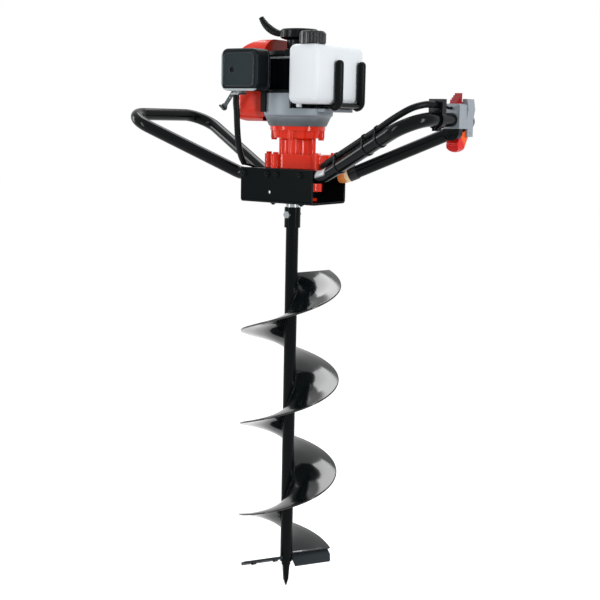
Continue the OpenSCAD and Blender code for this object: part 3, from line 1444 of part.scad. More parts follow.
// Angle plate behind the air filter base that holds the end of the cable sleeve
plate_w = 20;
plate_side = 7;
bracket_t = 3;
gland_r = 6;
gland_h = 5.5;
wire_hole_r = 1.5;
module cable_bracket() color(dark_plastic) {
    back = filter_y1 + seat_gap;
    front = bracket[1] - gland_r - bracket_t;
    translate([bracket[0], 0, bracket[2] + seat_gap]) difference() {
        union() {
            translate([-plate_side, front, 0]) cube([plate_w, back + bracket_t - front, bracket_t]);
            translate([-plate_side, back, 0])
                cube([plate_w, bracket_t, filter_z0 - bracket[2] + plate_w / 2]);
            translate([0, bracket[1], 0]) cylinder(r = gland_r, h = gland_h, $fn = 6);
        }
        translate([0, bracket[1], -cut]) cylinder(r = wire_hole_r, h = gland_h + 2 * cut);
    }
}

module throttle_cable() color("#0c0f10") swept_tube(cable_route, 10);

// Outline of a belt round two circles that lie along +X, its straight runs a hair inside their tangents
belt_sink = 0.06;
module belt(r1, r2, d) {
    a = acos((r1 - r2) / d);
    circle(r1);
    translate([d, 0]) circle(r2);
    p = (r1 - belt_sink) * [cos(a), sin(a)];
    q = [d, 0] + (r2 - belt_sink) * [cos(a), sin(a)];
    polygon([p, q, [q[0], -q[1]], [p[0], -p[1]]]);
}

// Ties round the tube and the sleeve on the throttle side, each at a point of the cable's route
tie_points = [21, 23, 24];
tie_w = 5;
tie_t = 1.2;
module cable_ties() color("#22282a") {
    a = [leg_x, -tube_y, tube_z];
    z = unit([reach, -loop_w / 2, bar_z] - a);
    for (i = tie_points) {
        p = [cable_route[i][0], cable_route[i][1], cable_route[i][2]];
        foot = a + z * ((p - a) * z);
        x = unit(p - foot);
        y = cross(z, x);
        d = norm(p - foot);
        multmatrix([
            [x[0], y[0], z[0], foot[0]],
            [x[1], y[1], z[1], foot[1]],
            [x[2], y[2], z[2], foot[2]],
            [0, 0, 0, 1]])
            linear_extrude(tie_w, center = true) difference() {
                belt(tube_r + clear_gap + tie_t, sleeve_cable_r + clear_gap + tie_t, d);
                belt(tube_r + clear_gap, sleeve_cable_r + clear_gap, d);
            }
    }
}

// Bent flat lever on a stud behind the air filter base, with a thumb tab at its lower end
choke_x = filter_x - filter_w / 2 + 3;
choke_z = filter_z0 + 5;
stud_r = 2.5;
choke_len = 44;
choke_angle = 38;
choke_t = 2;
choke_w = 8;
choke_eye_r = 6;
choke_pad_r = 7;
tab_t = 3;
tab_h = 9;
module choke_lever() color("#9aa0a3") {
    translate([choke_x, filter_y1 + 3 * clear_gap + choke_t, choke_z]) rotate([90, 0, 0])
        rotate([0, 0, -choke_angle]) difference() {
            union() {
                linear_extrude(choke_t) {
                    circle(choke_eye_r);
                    translate([-choke_w / 2, -choke_len]) square([choke_w, choke_len]);
                    translate([0, -choke_len]) circle(choke_pad_r);
                }
                translate([-choke_pad_r, -choke_len - tab_t, 0]) cube([2 * choke_pad_r, tab_t, tab_h]);
            }
            up(-cut) cylinder(r = stud_r + run_gap, h = choke_t + 2 * cut);
            translate([0, -choke_len / 2, -cut]) cylinder(r = wire_hole_r, h = choke_t + 2 * cut);
        }
}

output_shaft();
output_gear();
drive_pin();
auger_socket();
auger_tube();
auger_flight();
cutting_blades();
blade_bolts();
pilot_point();
layshaft();
layshaft_gear();
clutch_drum();
crankshaft();
flywheel_fan();
clutch_shoes();
frame_channel();
left_handle();
right_handle();
handle_bolts();
handle_nuts();
leg_bush();
gear_case();
clutch_housing();
case_bolts();
foot_bolts();
housing_bolts();
output_bearings();
layshaft_bushes();
drum_bearings();
fan_housing();
crankcase();
cylinder_block();  // cylinder
cylinder_shroud();
spark_plug();
plug_cap();
muffler();
insulator();
carburettor();
air_filter_base();
air_filter_foam();
air_filter_cover();
air_filter_knob();
starter_cover();
starter_rope();
starter_handle();
fuel_tank();
fuel_cap();
tank_guard();
guard_sleeves();
throttle_clamp();
throttle_housing();
throttle_base();
throttle_trigger();
trigger_pin();
stop_switch();
cable_bracket();
throttle_cable();
cable_ties();
choke_lever();
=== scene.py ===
"""Looks of a petrol earth auger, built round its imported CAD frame.

Every CAD node that shows takes a procedural finish. The wound flight, the throttle cable, the pull cord with
its grip, the fuel tank and the sleeves of its guard are made again here as smooth surfaces, in the place of
their solids.
"""

import logging
import math
from dataclasses import dataclass, field
from enum import Enum
from typing import ClassVar

import bmesh
import bpy
import numpy as np
from mathutils import Matrix, Vector


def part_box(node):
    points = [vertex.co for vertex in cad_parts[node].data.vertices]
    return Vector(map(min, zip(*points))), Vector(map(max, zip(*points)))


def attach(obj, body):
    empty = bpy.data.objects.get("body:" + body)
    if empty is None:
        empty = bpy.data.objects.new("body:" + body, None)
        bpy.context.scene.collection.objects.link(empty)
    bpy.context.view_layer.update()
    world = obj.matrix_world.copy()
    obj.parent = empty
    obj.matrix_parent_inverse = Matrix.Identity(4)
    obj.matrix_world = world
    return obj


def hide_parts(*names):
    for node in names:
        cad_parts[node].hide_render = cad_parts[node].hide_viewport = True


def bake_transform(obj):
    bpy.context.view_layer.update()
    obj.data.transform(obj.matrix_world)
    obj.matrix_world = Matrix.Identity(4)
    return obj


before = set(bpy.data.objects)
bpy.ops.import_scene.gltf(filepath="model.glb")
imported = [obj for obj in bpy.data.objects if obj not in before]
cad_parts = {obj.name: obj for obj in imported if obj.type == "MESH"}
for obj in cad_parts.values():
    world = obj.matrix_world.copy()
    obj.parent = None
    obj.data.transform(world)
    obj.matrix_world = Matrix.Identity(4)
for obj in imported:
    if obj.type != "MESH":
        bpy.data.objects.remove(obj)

LOG = logging.getLogger("earth_auger")
MM = 0.001
WELD_DISTANCE = 1e-6
BUMP_DEPTH = 0.4 * MM
MEAN_NOISE = 0.5
WHITE = (1.0, 1.0, 1.0, 1.0)

Array = np.ndarray
Colour = tuple[int, int, int]
Point = tuple[float, float, float]

UP: Point = (0.0, 0.0, 1.0)
DOWN: Point = (0.0, 0.0, -1.0)
LEFT: Point = (-1.0, 0.0, 0.0)
FRONT: Point = (0.0, -1.0, 0.0)
BACK: Point = (0.0, 1.0, 0.0)
UNDER_LEG: Point = (0.25, 0.0, -0.97)
ALONG_REAR_LEG: Point = (0.8627, 0.3071, 0.4013)
UP_TRIGGER: Point = (0.0, 0.7, 0.7)


def linear(colour: Colour) -> tuple[float, float, float, float]:
    """Turns a screen colour into the linear value that a shader takes, by the sRGB curve.

    Args:
        colour: Red, green and blue, each from 0 to 255.

    Returns:
        Linear red, green, blue and a full alpha.
    """
    share = np.asarray(colour, float) / 255.0
    value = np.where(share <= 0.04045, share / 12.92, ((share + 0.055) / 1.055) ** 2.4)
    return (*value.tolist(), 1.0)


def box_of(node: str) -> tuple[Array, Array]:
    """Gives the lowest and highest corner of a CAD node at rest.

    Args:
        node: Name of the node.

    Returns:
        Two points, in metres.
    """
    low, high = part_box(node)
    return np.array(low), np.array(high)


# Surfaces


def unit(vectors: Array) -> Array:
    """Scales vectors to length one.

    Args:
        vectors: Vectors along the last axis.

    Returns:
        Vectors of the same shape, each of length one.
    """
    return vectors / np.linalg.norm(vectors, axis=-1, keepdims=True)


def smooth_line(points: Array, per_span: int) -> Array:
    """Draws a cubic through points: its slope at each is half the step between the neighbours.

    Args:
        points: Points to pass through, one in each row.
        per_span: Samples between two points.

    Returns:
        Points on the line, the first and last as given.
    """
    padded = np.vstack([2 * points[0] - points[1], points, 2 * points[-1] - points[-2]])
    before, start, end, after = padded[:-3], padded[1:-2], padded[2:-1], padded[3:]
    t = np.linspace(0, 1, per_span, endpoint=False)[None, :, None]
    before, start, end, after = (p[:, None, :] for p in (before, start, end, after))
    line = 0.5 * (
        2 * start
        + (end - before) * t
        + (2 * before - 5 * start + 4 * end - after) * t**2
        + (3 * start - before - 3 * end + after) * t**3
    )
    return np.vstack([line.reshape(-1, 3), points[-1:]])


def round_tube(line: Array, radii: Array, sides: int, reference: Point) -> Array:
    """Carries a circle along a line: each ring lies across the line's slope, turned to face the reference.

    Args:
        line: Points of the centre line.
        radii: Radius at each point.
        sides: Points in a ring.
        reference: Direction that the line never runs along.

    Returns:
        Grid of points, one ring in each row.
    """
    slope = unit(np.gradient(line, axis=0))
    side = unit(np.cross(slope, np.asarray(reference, float)))
    up = np.cross(slope, side)
    turn = np.linspace(0, 2 * np.pi, sides, endpoint=False)
    ring = np.cos(turn)[None, :, None] * side[:, None, :] + np.sin(turn)[None, :, None] * up[:, None, :]
    return line[:, None, :] + radii[:, None, None] * ring


def grid_piece(name: str, grid: Array, sharp_deg: float = 40.0) -> bpy.types.Object:
    """Makes a closed piece from rings of points, with a face over each end.

    Args:
        name: Name of the piece.
        grid: Rings of points, one ring in each row.
        sharp_deg: Angle past which an edge stays sharp.

    Returns:
        The piece, at the origin, with its normals outwards.
    """
    rows, columns = grid.shape[:2]
    index = np.arange(rows * columns).reshape(rows, columns)
    here, ahead = index[:-1], index[1:]
    walls = np.stack([here, np.roll(here, -1, 1), np.roll(ahead, -1, 1), ahead], axis=-1).reshape(-1, 4)
    faces = [*walls.tolist(), index[0, ::-1].tolist(), index[-1].tolist()]
    mesh = bpy.data.meshes.new(name)
    mesh.from_pydata(grid.reshape(-1, 3).tolist(), [], faces)
    sheet = bmesh.new()
    sheet.from_mesh(mesh)
    bmesh.ops.remove_doubles(sheet, verts=sheet.verts, dist=WELD_DISTANCE)
    bmesh.ops.recalc_face_normals(sheet, faces=sheet.faces)
    sheet.to_mesh(mesh)
    sheet.free()
    mesh.polygons.foreach_set("use_smooth", np.ones(len(mesh.polygons), bool))
    mesh.set_sharp_from_angle(angle=math.radians(sharp_deg))
    piece = bpy.data.objects.new(name, mesh)
    bpy.context.scene.collection.objects.link(piece)
    LOG.info("piece %s: %d faces", name, len(mesh.polygons))
    return piece


# Finishes


@dataclass
class NodeSheet:
    """Short calls for filling a node tree.

    Attributes:
        tree: The tree that is filled.
    """

    tree: bpy.types.NodeTree

    def add(self, kind: str, **settings: object) -> bpy.types.Node:
        """Adds a node.

        Args:
            kind: Blender's name for the node.
            **settings: Properties to set on it.

        Returns:
            The new node.
        """
        node = self.tree.nodes.new(kind)
        for key, value in settings.items():
            setattr(node, key, value)
        return node

    def feed(self, node: bpy.types.Node, values: dict[str | int, object]) -> bpy.types.Node:
        """Sets or links inputs of a node.

        Args:
            node: The node.
            values: For each input, a constant or the socket that feeds it.

        Returns:
            The same node.
        """
        for key, value in values.items():
            self._join(node.inputs[key], value)
        return node

    def _join(self, socket: bpy.types.NodeSocket, value: object) -> None:
        """Links or sets one input.

        Args:
            socket: The input.
            value: A constant or the socket that feeds it.
        """
        if isinstance(value, bpy.types.NodeSocket):
            self.tree.links.new(value, socket)
        else:
            socket.default_value = value

    def math(self, operation: str, *values: object) -> bpy.types.NodeSocket:
        """Adds a sum of numbers.

        Args:
            operation: Blender's name for the sum.
            *values: Constants or sockets, in order.

        Returns:
            The result's socket.
        """
        node = self.add("ShaderNodeMath", operation=operation)
        return self.feed(node, dict(enumerate(values))).outputs[0]

    def mix(self, share: object, first: object, second: object) -> bpy.types.NodeSocket:
        """Mixes two colours.

        Args:
            share: How much of the second colour shows.
            first: Colour or socket.
            second: Colour or socket.

        Returns:
            The mixed colour's socket.
        """
        node = self.add("ShaderNodeMix", data_type="RGBA")
        sockets = [s for s in node.inputs if s.enabled]
        for socket, value in zip(sockets, (share, first, second)):
            self._join(socket, value)
        return next(s for s in node.outputs if s.enabled)


class Effect(Enum):
    """Shared shader groups, by name."""

    GRAIN = "surface_grain"
    EDGE = "soft_edge"
    ZONE = "zone_mask"


@dataclass
class EffectLibrary:
    """Makes each shared shader group once.

    Attributes:
        bevel_samples: Rays that a rounded edge takes.
        patch_share: Scale of the broad patches against the fine grain.
        patch_detail: Detail of the patches.
        patch_roughness: How strongly that detail shows.
        edge_start: Cosine of the normal's lean where an edge starts to show.
        edge_full: Cosine of the lean where it shows in full.
    """

    bevel_samples: int = 6
    patch_share: float = 0.03
    patch_detail: float = 3.0
    patch_roughness: float = 0.6
    edge_start: float = 0.995
    edge_full: float = 0.8

    def get(self, effect: Effect) -> bpy.types.NodeTree:
        """Gives a group, and makes it at its first use.

        Args:
            effect: Which group.

        Returns:
            The group's node tree.
        """
        found = bpy.data.node_groups.get(effect.value)
        makers = {Effect.GRAIN: self._grain, Effect.EDGE: self._edge, Effect.ZONE: self._zone}
        return found or makers[effect]()

    def _group(
        self, effect: Effect, inputs: dict[str, str], outputs: dict[str, str]
    ) -> tuple[NodeSheet, bpy.types.Node, bpy.types.Node]:
        """Starts a group with its sockets.

        Args:
            effect: Which group.
            inputs: Socket type for each input's name.
            outputs: Socket type for each output's name.

        Returns:
            The sheet, the group's input node and its output node.
        """
        tree = bpy.data.node_groups.new(effect.value, "ShaderNodeTree")
        for way, sockets in (("INPUT", inputs), ("OUTPUT", outputs)):
            for name, kind in sockets.items():
                tree.interface.new_socket(name, in_out=way, socket_type=kind)
        sheet = NodeSheet(tree)
        return sheet, sheet.add("NodeGroupInput"), sheet.add("NodeGroupOutput")

    def _grain(self) -> bpy.types.NodeTree:
        """Makes the fine grain and broad patches of a surface, from noise on its own coordinates.

        Returns:
            The group's node tree.
        """
        floats = {"Scale": "NodeSocketFloat", "Detail": "NodeSocketFloat"}
        sheet, given, made = self._group(
            Effect.GRAIN, floats, {"Height": "NodeSocketFloat", "Patch": "NodeSocketFloat"}
        )
        place = sheet.add("ShaderNodeTexCoord").outputs["Object"]
        scale, detail = given.outputs["Scale"], given.outputs["Detail"]
        fine = sheet.add("ShaderNodeTexNoise")
        sheet.feed(fine, {"Vector": place, "Scale": scale, "Detail": detail})
        broad = sheet.add("ShaderNodeTexNoise")
        wide = sheet.math("MULTIPLY", scale, self.patch_share)
        rest = {"Detail": self.patch_detail, "Roughness": self.patch_roughness}
        sheet.feed(broad, {"Vector": place, "Scale": wide, **rest})
        sheet.feed(made, {"Height": fine.outputs[0], "Patch": broad.outputs[0]})
        return sheet.tree

    def _edge(self) -> bpy.types.NodeTree:
        """Makes a rounded normal near edges, and a mask of them from how far it leans off the true one.

        Returns:
            The group's node tree.
        """
        sheet, given, made = self._group(
            Effect.EDGE,
            {"Radius": "NodeSocketFloat"},
            {"Normal": "NodeSocketVector", "Edge": "NodeSocketFloat"},
        )
        bevel = sheet.add("ShaderNodeBevel", samples=self.bevel_samples)
        sheet.feed(bevel, {"Radius": given.outputs["Radius"]})
        lean = sheet.add("ShaderNodeVectorMath", operation="DOT_PRODUCT")
        sheet.feed(lean, {0: bevel.outputs[0], 1: sheet.add("ShaderNodeNewGeometry").outputs["Normal"]})
        span = sheet.add("ShaderNodeMapRange", interpolation_type="SMOOTHSTEP")
        limits = {"From Min": self.edge_start, "From Max": self.edge_full}
        sheet.feed(span, {"Value": lean.outputs["Value"], **limits})
        sheet.feed(made, {"Normal": bevel.outputs[0], "Edge": span.outputs[0]})
        return sheet.tree

    def _zone(self) -> bpy.types.NodeTree:
        """Makes a mask that rises between two places along a direction.

        Returns:
            The group's node tree.
        """
        sheet, given, made = self._group(
            Effect.ZONE,
            {"Axis": "NodeSocketVector", "Start": "NodeSocketFloat", "End": "NodeSocketFloat"},
            {"Mask": "NodeSocketFloat"},
        )
        along = sheet.add("ShaderNodeVectorMath", operation="DOT_PRODUCT")
        place = sheet.add("ShaderNodeTexCoord").outputs["Object"]
        sheet.feed(along, {0: place, 1: given.outputs["Axis"]})
        span = sheet.add("ShaderNodeMapRange", interpolation_type="SMOOTHSTEP")
        limits = {"From Min": given.outputs["Start"], "From Max": given.outputs["End"]}
        sheet.feed(span, {"Value": along.outputs["Value"], **limits})
        sheet.feed(made, {"Mask": span.outputs[0]})
        return sheet.tree


class Grain(Enum):
    """Fine surface of a finish: noise scale to the metre, detail and bump strength."""

    ENAMEL = (260.0, 2.0, 0.03)
    CAST = (1100.0, 6.0, 0.30)
    MOULDED = (1500.0, 4.0, 0.16)
    GROUND = (900.0, 3.0, 0.08)
    SOFT = (700.0, 5.0, 0.25)
    OPEN = (420.0, 8.0, 0.90)


@dataclass(frozen=True)
class Zone:
    """Stretch of a piece with another colour, which on some finishes is painted light or shade.

    Attributes:
        axis: Direction that the stretch is measured along.
        start: Where the colour starts to show, in metres.
        end: Where it shows in full.
        colour: The colour.
    """

    axis: Point
    start: float
    end: float
    colour: Colour


@dataclass(frozen=True)
class Finish:
    """Procedural finish of a surface.

    Attributes:
        name: Name of the material.
        slot: Slot of the record that it belongs to.
        colour: Main colour.
        tone: Colour of the broad patches.
        edge: Colour of worn or thin edges, on some finishes a painted highlight.
        edge_share: How much of the edge colour shows.
        roughness: Mean roughness.
        spread: How far patches change the roughness.
        metallic: Share of metal.
        specular: Level of the plain reflection, 0.5 for a common one.
        grain: Fine surface.
        edge_radius: Radius of the rounded edges, in metres.
        zones: Stretches with another colour.
    """

    name: str
    slot: str
    colour: Colour
    tone: Colour
    edge: Colour
    edge_share: float = 0.3
    roughness: float = 0.5
    spread: float = 0.1
    metallic: float = 0.0
    specular: float = 0.25
    grain: Grain = Grain.MOULDED
    edge_radius: float = 1.2 * MM
    zones: tuple[Zone, ...] = ()

    def material(self, effects: EffectLibrary) -> bpy.types.Material:
        """Gives the material, and makes it at its first use.

        Args:
            effects: The shared shader groups.

        Returns:
            The material.
        """
        found = bpy.data.materials.get(self.name)
        if found:
            return found
        made = bpy.data.materials.new(self.name)
        made.use_nodes = True
        made.node_tree.nodes.clear()
        sheet = NodeSheet(made.node_tree)
        scale, detail, height = self.grain.value
        grain = sheet.add("ShaderNodeGroup", node_tree=effects.get(Effect.GRAIN))
        sheet.feed(grain, {"Scale": scale, "Detail": detail})
        edge = sheet.add("ShaderNodeGroup", node_tree=effects.get(Effect.EDGE))
        sheet.feed(edge, {"Radius": self.edge_radius})
        colour = sheet.mix(grain.outputs["Patch"], linear(self.colour), linear(self.tone))
        for zone in self.zones:
            mask = sheet.add("ShaderNodeGroup", node_tree=effects.get(Effect.ZONE))
            sheet.feed(mask, {"Axis": zone.axis, "Start": zone.start, "End": zone.end})
            colour = sheet.mix(mask.outputs["Mask"], colour, linear(zone.colour))
        worn = sheet.math("MULTIPLY", edge.outputs["Edge"], self.edge_share)
        colour = sheet.mix(worn, colour, linear(self.edge))
        shift = sheet.math("SUBTRACT", grain.outputs["Patch"], MEAN_NOISE)
        roughness = sheet.math("MULTIPLY_ADD", shift, self.spread, self.roughness)
        bump = sheet.add("ShaderNodeBump")
        relief = {"Strength": height, "Distance": BUMP_DEPTH}
        sheet.feed(bump, {**relief, "Height": grain.outputs["Height"], "Normal": edge.outputs["Normal"]})
        shader = sheet.add("ShaderNodeBsdfPrincipled")
        look = {"Base Color": colour, "Roughness": roughness, "Normal": bump.outputs[0]}
        plain = {"Metallic": self.metallic, "Specular IOR Level": self.specular}
        sheet.feed(shader, {**look, **plain})
        sheet.feed(sheet.add("ShaderNodeOutputMaterial"), {"Surface": shader.outputs[0]})
        return made


@dataclass
class Palette:
    """Calls that put finishes on pieces.

    Attributes:
        effects: The shared shader groups.
    """

    effects: EffectLibrary = field(default_factory=EffectLibrary)

    def dress(self, finish: Finish, *nodes: str) -> None:
        """Puts a finish on CAD nodes.

        Args:
            finish: The finish.
            *nodes: Names of the nodes.
        """
        for name in nodes:
            self.paint(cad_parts[name], finish)
            LOG.info("node %s: %s", name, finish.name)

    def paint(self, piece: bpy.types.Object, finish: Finish) -> None:
        """Gives a piece its only material.

        Args:
            piece: The piece.
            finish: The finish.
        """
        piece.data.materials.clear()
        piece.data.materials.append(finish.material(self.effects))

    def place(self, piece: bpy.types.Object, finish: Finish, body: str, *nodes: str) -> None:
        """Puts a new piece on its body, in the place of CAD nodes.

        Args:
            piece: The piece.
            finish: Its finish.
            body: The body that it moves with.
            *nodes: Nodes that it stands for.
        """
        self.paint(piece, finish)
        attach(piece, body)
        if nodes:
            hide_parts(*nodes)


BLACK = (6, 10, 12)
# Pale grey for a painted highlight on the near leg
PAINTED_HIGHLIGHT_GREY = (206, 210, 213)
BLACK_ENAMEL = Finish(
    "black_enamel", "black_paint", BLACK, (9, 14, 16), (70, 78, 82),
    edge_share=0.15, roughness=0.17, spread=0.08, specular=0.06, grain=Grain.ENAMEL,
)
FLIGHT_GLOSS = Finish(
    "flight_gloss", "black_paint", BLACK, (10, 15, 17), (46, 52, 56),
    edge_share=0.20, roughness=0.13, spread=0.05, specular=0.5, grain=Grain.ENAMEL,
)
BLADE_BLACK = Finish(
    "blade_black", "black_paint", (34, 40, 44), (40, 47, 51), (120, 128, 132),
    edge_share=0.30, roughness=0.55, spread=0.10, specular=0.10, grain=Grain.ENAMEL,
)
# Its pale edge colour is part edge wear, part painted highlight along the channel's edges
PLATE_BLACK = Finish(
    "plate_black", "black_paint", BLACK, (9, 15, 17), (138, 146, 150),
    edge_share=0.35, roughness=0.36, spread=0.10, specular=0.03, grain=Grain.ENAMEL,
)
TUBE_BLACK = Finish(
    "tube_black", "black_paint", (4, 8, 10), (7, 12, 14), (40, 47, 50),
    edge_share=0.15, roughness=0.14, spread=0.05, specular=0.10, grain=Grain.ENAMEL,
)
LEG_BLACK = Finish(
    "leg_black", "black_paint", (4, 8, 10), (7, 12, 14), (40, 47, 50),
    edge_share=0.15, roughness=0.14, spread=0.05, specular=0.10, grain=Grain.ENAMEL,
    zones=(
        # A painted highlight, pale grey, on top of the near leg just outside the channel; the zones after it
        # keep the black inside the channel, on the far leg and on the leg's underside
        Zone(LEFT, -0.116, -0.110, PAINTED_HIGHLIGHT_GREY),
        Zone(LEFT, -0.090, -0.086, BLACK),
        Zone(BACK, -0.02, -0.01, BLACK),
        Zone(UNDER_LEG, -0.8040, -0.7980, BLACK),
    ),
)
RED_ENAMEL = Finish(
    "red_enamel", "red_paint", (218, 36, 9), (224, 47, 16), (242, 138, 96),
    edge_share=0.25, roughness=0.12, spread=0.05, specular=0.22, grain=Grain.ENAMEL,
)
RED_MOULDED = Finish(
    "red_moulded", "red_plastic", (216, 38, 16), (222, 49, 25), (240, 128, 98),
    edge_share=0.25, roughness=0.20, spread=0.06, specular=0.25,
)
TRIGGER_RED = Finish(
    "trigger_red", "red_plastic", (206, 22, 18), (212, 32, 26), (236, 124, 100),
    edge_share=0.25, roughness=0.20, spread=0.06,
    # Painted light: the trigger's upper part is painted orange, as its lit side
    specular=0.12, zones=(Zone(UP_TRIGGER, 0.668, 0.674, (232, 88, 28)),),
)
DARK_RED_MOULDED = Finish(
    "dark_red_moulded", "red_plastic", (150, 14, 26), (160, 22, 32), (196, 80, 80),
    edge_share=0.25, roughness=0.30, spread=0.08, specular=0.15,
)
BLASTED_CASTING = Finish(
    "blasted_casting", "grey_cast", (126, 135, 143), (138, 146, 154), (180, 187, 193),
    edge_share=0.35, roughness=0.46, spread=0.14, metallic=0.2, specular=0.3, grain=Grain.CAST,
    # Painted shade: darker towards the bottom, over the fan housing's downward cone
    zones=(Zone(DOWN, -0.9680, -0.9500, (82, 89, 93)),),
)
BLACK_CASTING = Finish(
    "black_casting", "black_paint", (9, 13, 15), (13, 18, 20), (60, 68, 72),
    edge_share=0.20, roughness=0.40, spread=0.14, specular=0.06, grain=Grain.CAST,
    zones=(
        # The pale joint line of the crankcase
        Zone(UP, 1.0706, 1.0712, (226, 232, 235)),
        Zone(UP, 1.0746, 1.0752, (12, 17, 18)),
    ),
)
GROUND_STEEL = Finish(
    "ground_steel", "steel", (172, 176, 178), (150, 154, 157), (214, 217, 219),
    edge_share=0.40, roughness=0.30, spread=0.14, metallic=0.95, grain=Grain.GROUND, edge_radius=0.6 * MM,
)
DULL_ZINC = Finish(
    "dull_zinc", "zinc", (128, 132, 134), (108, 113, 116), (186, 190, 192),
    edge_share=0.40, roughness=0.42, spread=0.16, metallic=0.85, grain=Grain.GROUND, edge_radius=0.6 * MM,
)
DARK_ZINC = Finish(
    "dark_zinc", "zinc", (66, 71, 74), (52, 57, 60), (140, 146, 150),
    edge_share=0.40, roughness=0.46, spread=0.16, metallic=0.7, grain=Grain.CAST, edge_radius=0.6 * MM,
)
# Its pale edge colour is a painted highlight along the mouldings' edges
DARK_MOULDED = Finish(
    "dark_moulded", "dark_plastic", (8, 12, 14), (11, 16, 18), (150, 160, 164),
    edge_share=0.45, roughness=0.30, spread=0.08, specular=0.07, edge_radius=1.6 * MM,
    zones=(
        # The filter's front panel and its rim, painted highlights along the rim's left and lower edges, and
        # the dark sides
        Zone(FRONT, 0.1224, 0.1228, (32, 44, 48)),
        Zone(FRONT, 0.1239, 0.1243, (14, 19, 21)),
        Zone(LEFT, 0.0785, 0.0800, (122, 132, 135)),
        Zone(DOWN, -1.0122, -1.0112, (190, 199, 202)),
        Zone(BACK, -0.1190, -0.1180, (8, 12, 14)),
    ),
)
BLACK_MOULDED = Finish(
    "black_moulded", "black_plastic", (9, 13, 15), (13, 18, 20), (110, 118, 122),
    edge_share=0.22, roughness=0.20, spread=0.08, specular=0.09,
)
CAP_GLOSS = Finish(
    "cap_gloss", "black_plastic", (9, 13, 15), (13, 18, 20), (120, 128, 132),
    edge_share=0.25, roughness=0.14, spread=0.06, specular=0.32,
)
GREY_MOULDED = Finish(
    "grey_moulded", "grey_plastic", (136, 143, 150), (146, 153, 160), (196, 202, 206),
    edge_share=0.30, roughness=0.38, spread=0.10,
)
WHITE_TANK = Finish(
    "white_tank", "white_plastic", (229, 234, 238), (224, 230, 234), (238, 242, 244),
    edge_share=0.25, roughness=0.36, spread=0.08,
)
SMOOTH_RUBBER = Finish(
    "smooth_rubber", "rubber", (9, 12, 14), (13, 17, 19), (54, 60, 63),
    edge_share=0.20, roughness=0.36, spread=0.10, specular=0.08, grain=Grain.SOFT,
)
SINTERED_BRONZE = Finish(
    "sintered_bronze", "bronze", (150, 112, 62), (132, 98, 54), (190, 160, 110),
    edge_share=0.30, roughness=0.46, spread=0.12, metallic=0.9, grain=Grain.CAST,
)
ORANGE_MOULDED = Finish(
    "orange_moulded", "orange_plastic", (240, 150, 74), (244, 160, 88), (246, 200, 156),
    edge_share=0.0, roughness=0.36, spread=0.10,
    zones=(
        # A painted highlight as a cream ring, then a black end
        Zone(ALONG_REAR_LEG, 0.4360, 0.4368, (250, 224, 186)),
        Zone(ALONG_REAR_LEG, 0.4440, 0.4446, BLACK),
    ),
)
OPEN_FOAM = Finish(
    "open_foam", "foam", (36, 46, 40), (50, 60, 53), (60, 72, 64),
    edge_share=0.20, roughness=0.95, spread=0.05, grain=Grain.OPEN,
)
BRAIDED_CORD = Finish(
    "braided_cord", "rope", (204, 198, 184), (184, 176, 160), (220, 216, 204),
    edge_share=0.20, roughness=0.85, spread=0.10, grain=Grain.OPEN,
)
GLAZED_CERAMIC = Finish(
    "glazed_ceramic", "ceramic", (230, 226, 216), (222, 218, 206), (240, 238, 230),
    edge_share=0.20, roughness=0.24, spread=0.08, specular=0.5, grain=Grain.ENAMEL,
)
HEAT_COAT = Finish(
    "heat_coat", "dark_steel", (56, 60, 62), (68, 70, 70), (120, 122, 122),
    edge_share=0.30, roughness=0.60, spread=0.16, metallic=0.4, grain=Grain.CAST,
)


# Sub-assemblies


@dataclass
class SubAssembly:
    """Group of pieces that belong together.

    Attributes:
        palette: The calls that put finishes on pieces.
        looks: The CAD nodes that take each finish.
    """

    palette: Palette
    looks: ClassVar[dict[Finish, tuple[str, ...]]] = {}

    def build(self) -> None:
        """Makes the pieces that the group draws anew: none, unless it says so."""

    def dress(self) -> None:
        """Puts the finishes on the group's CAD nodes."""
        for finish, nodes in self.looks.items():
            self.palette.dress(finish, *nodes)


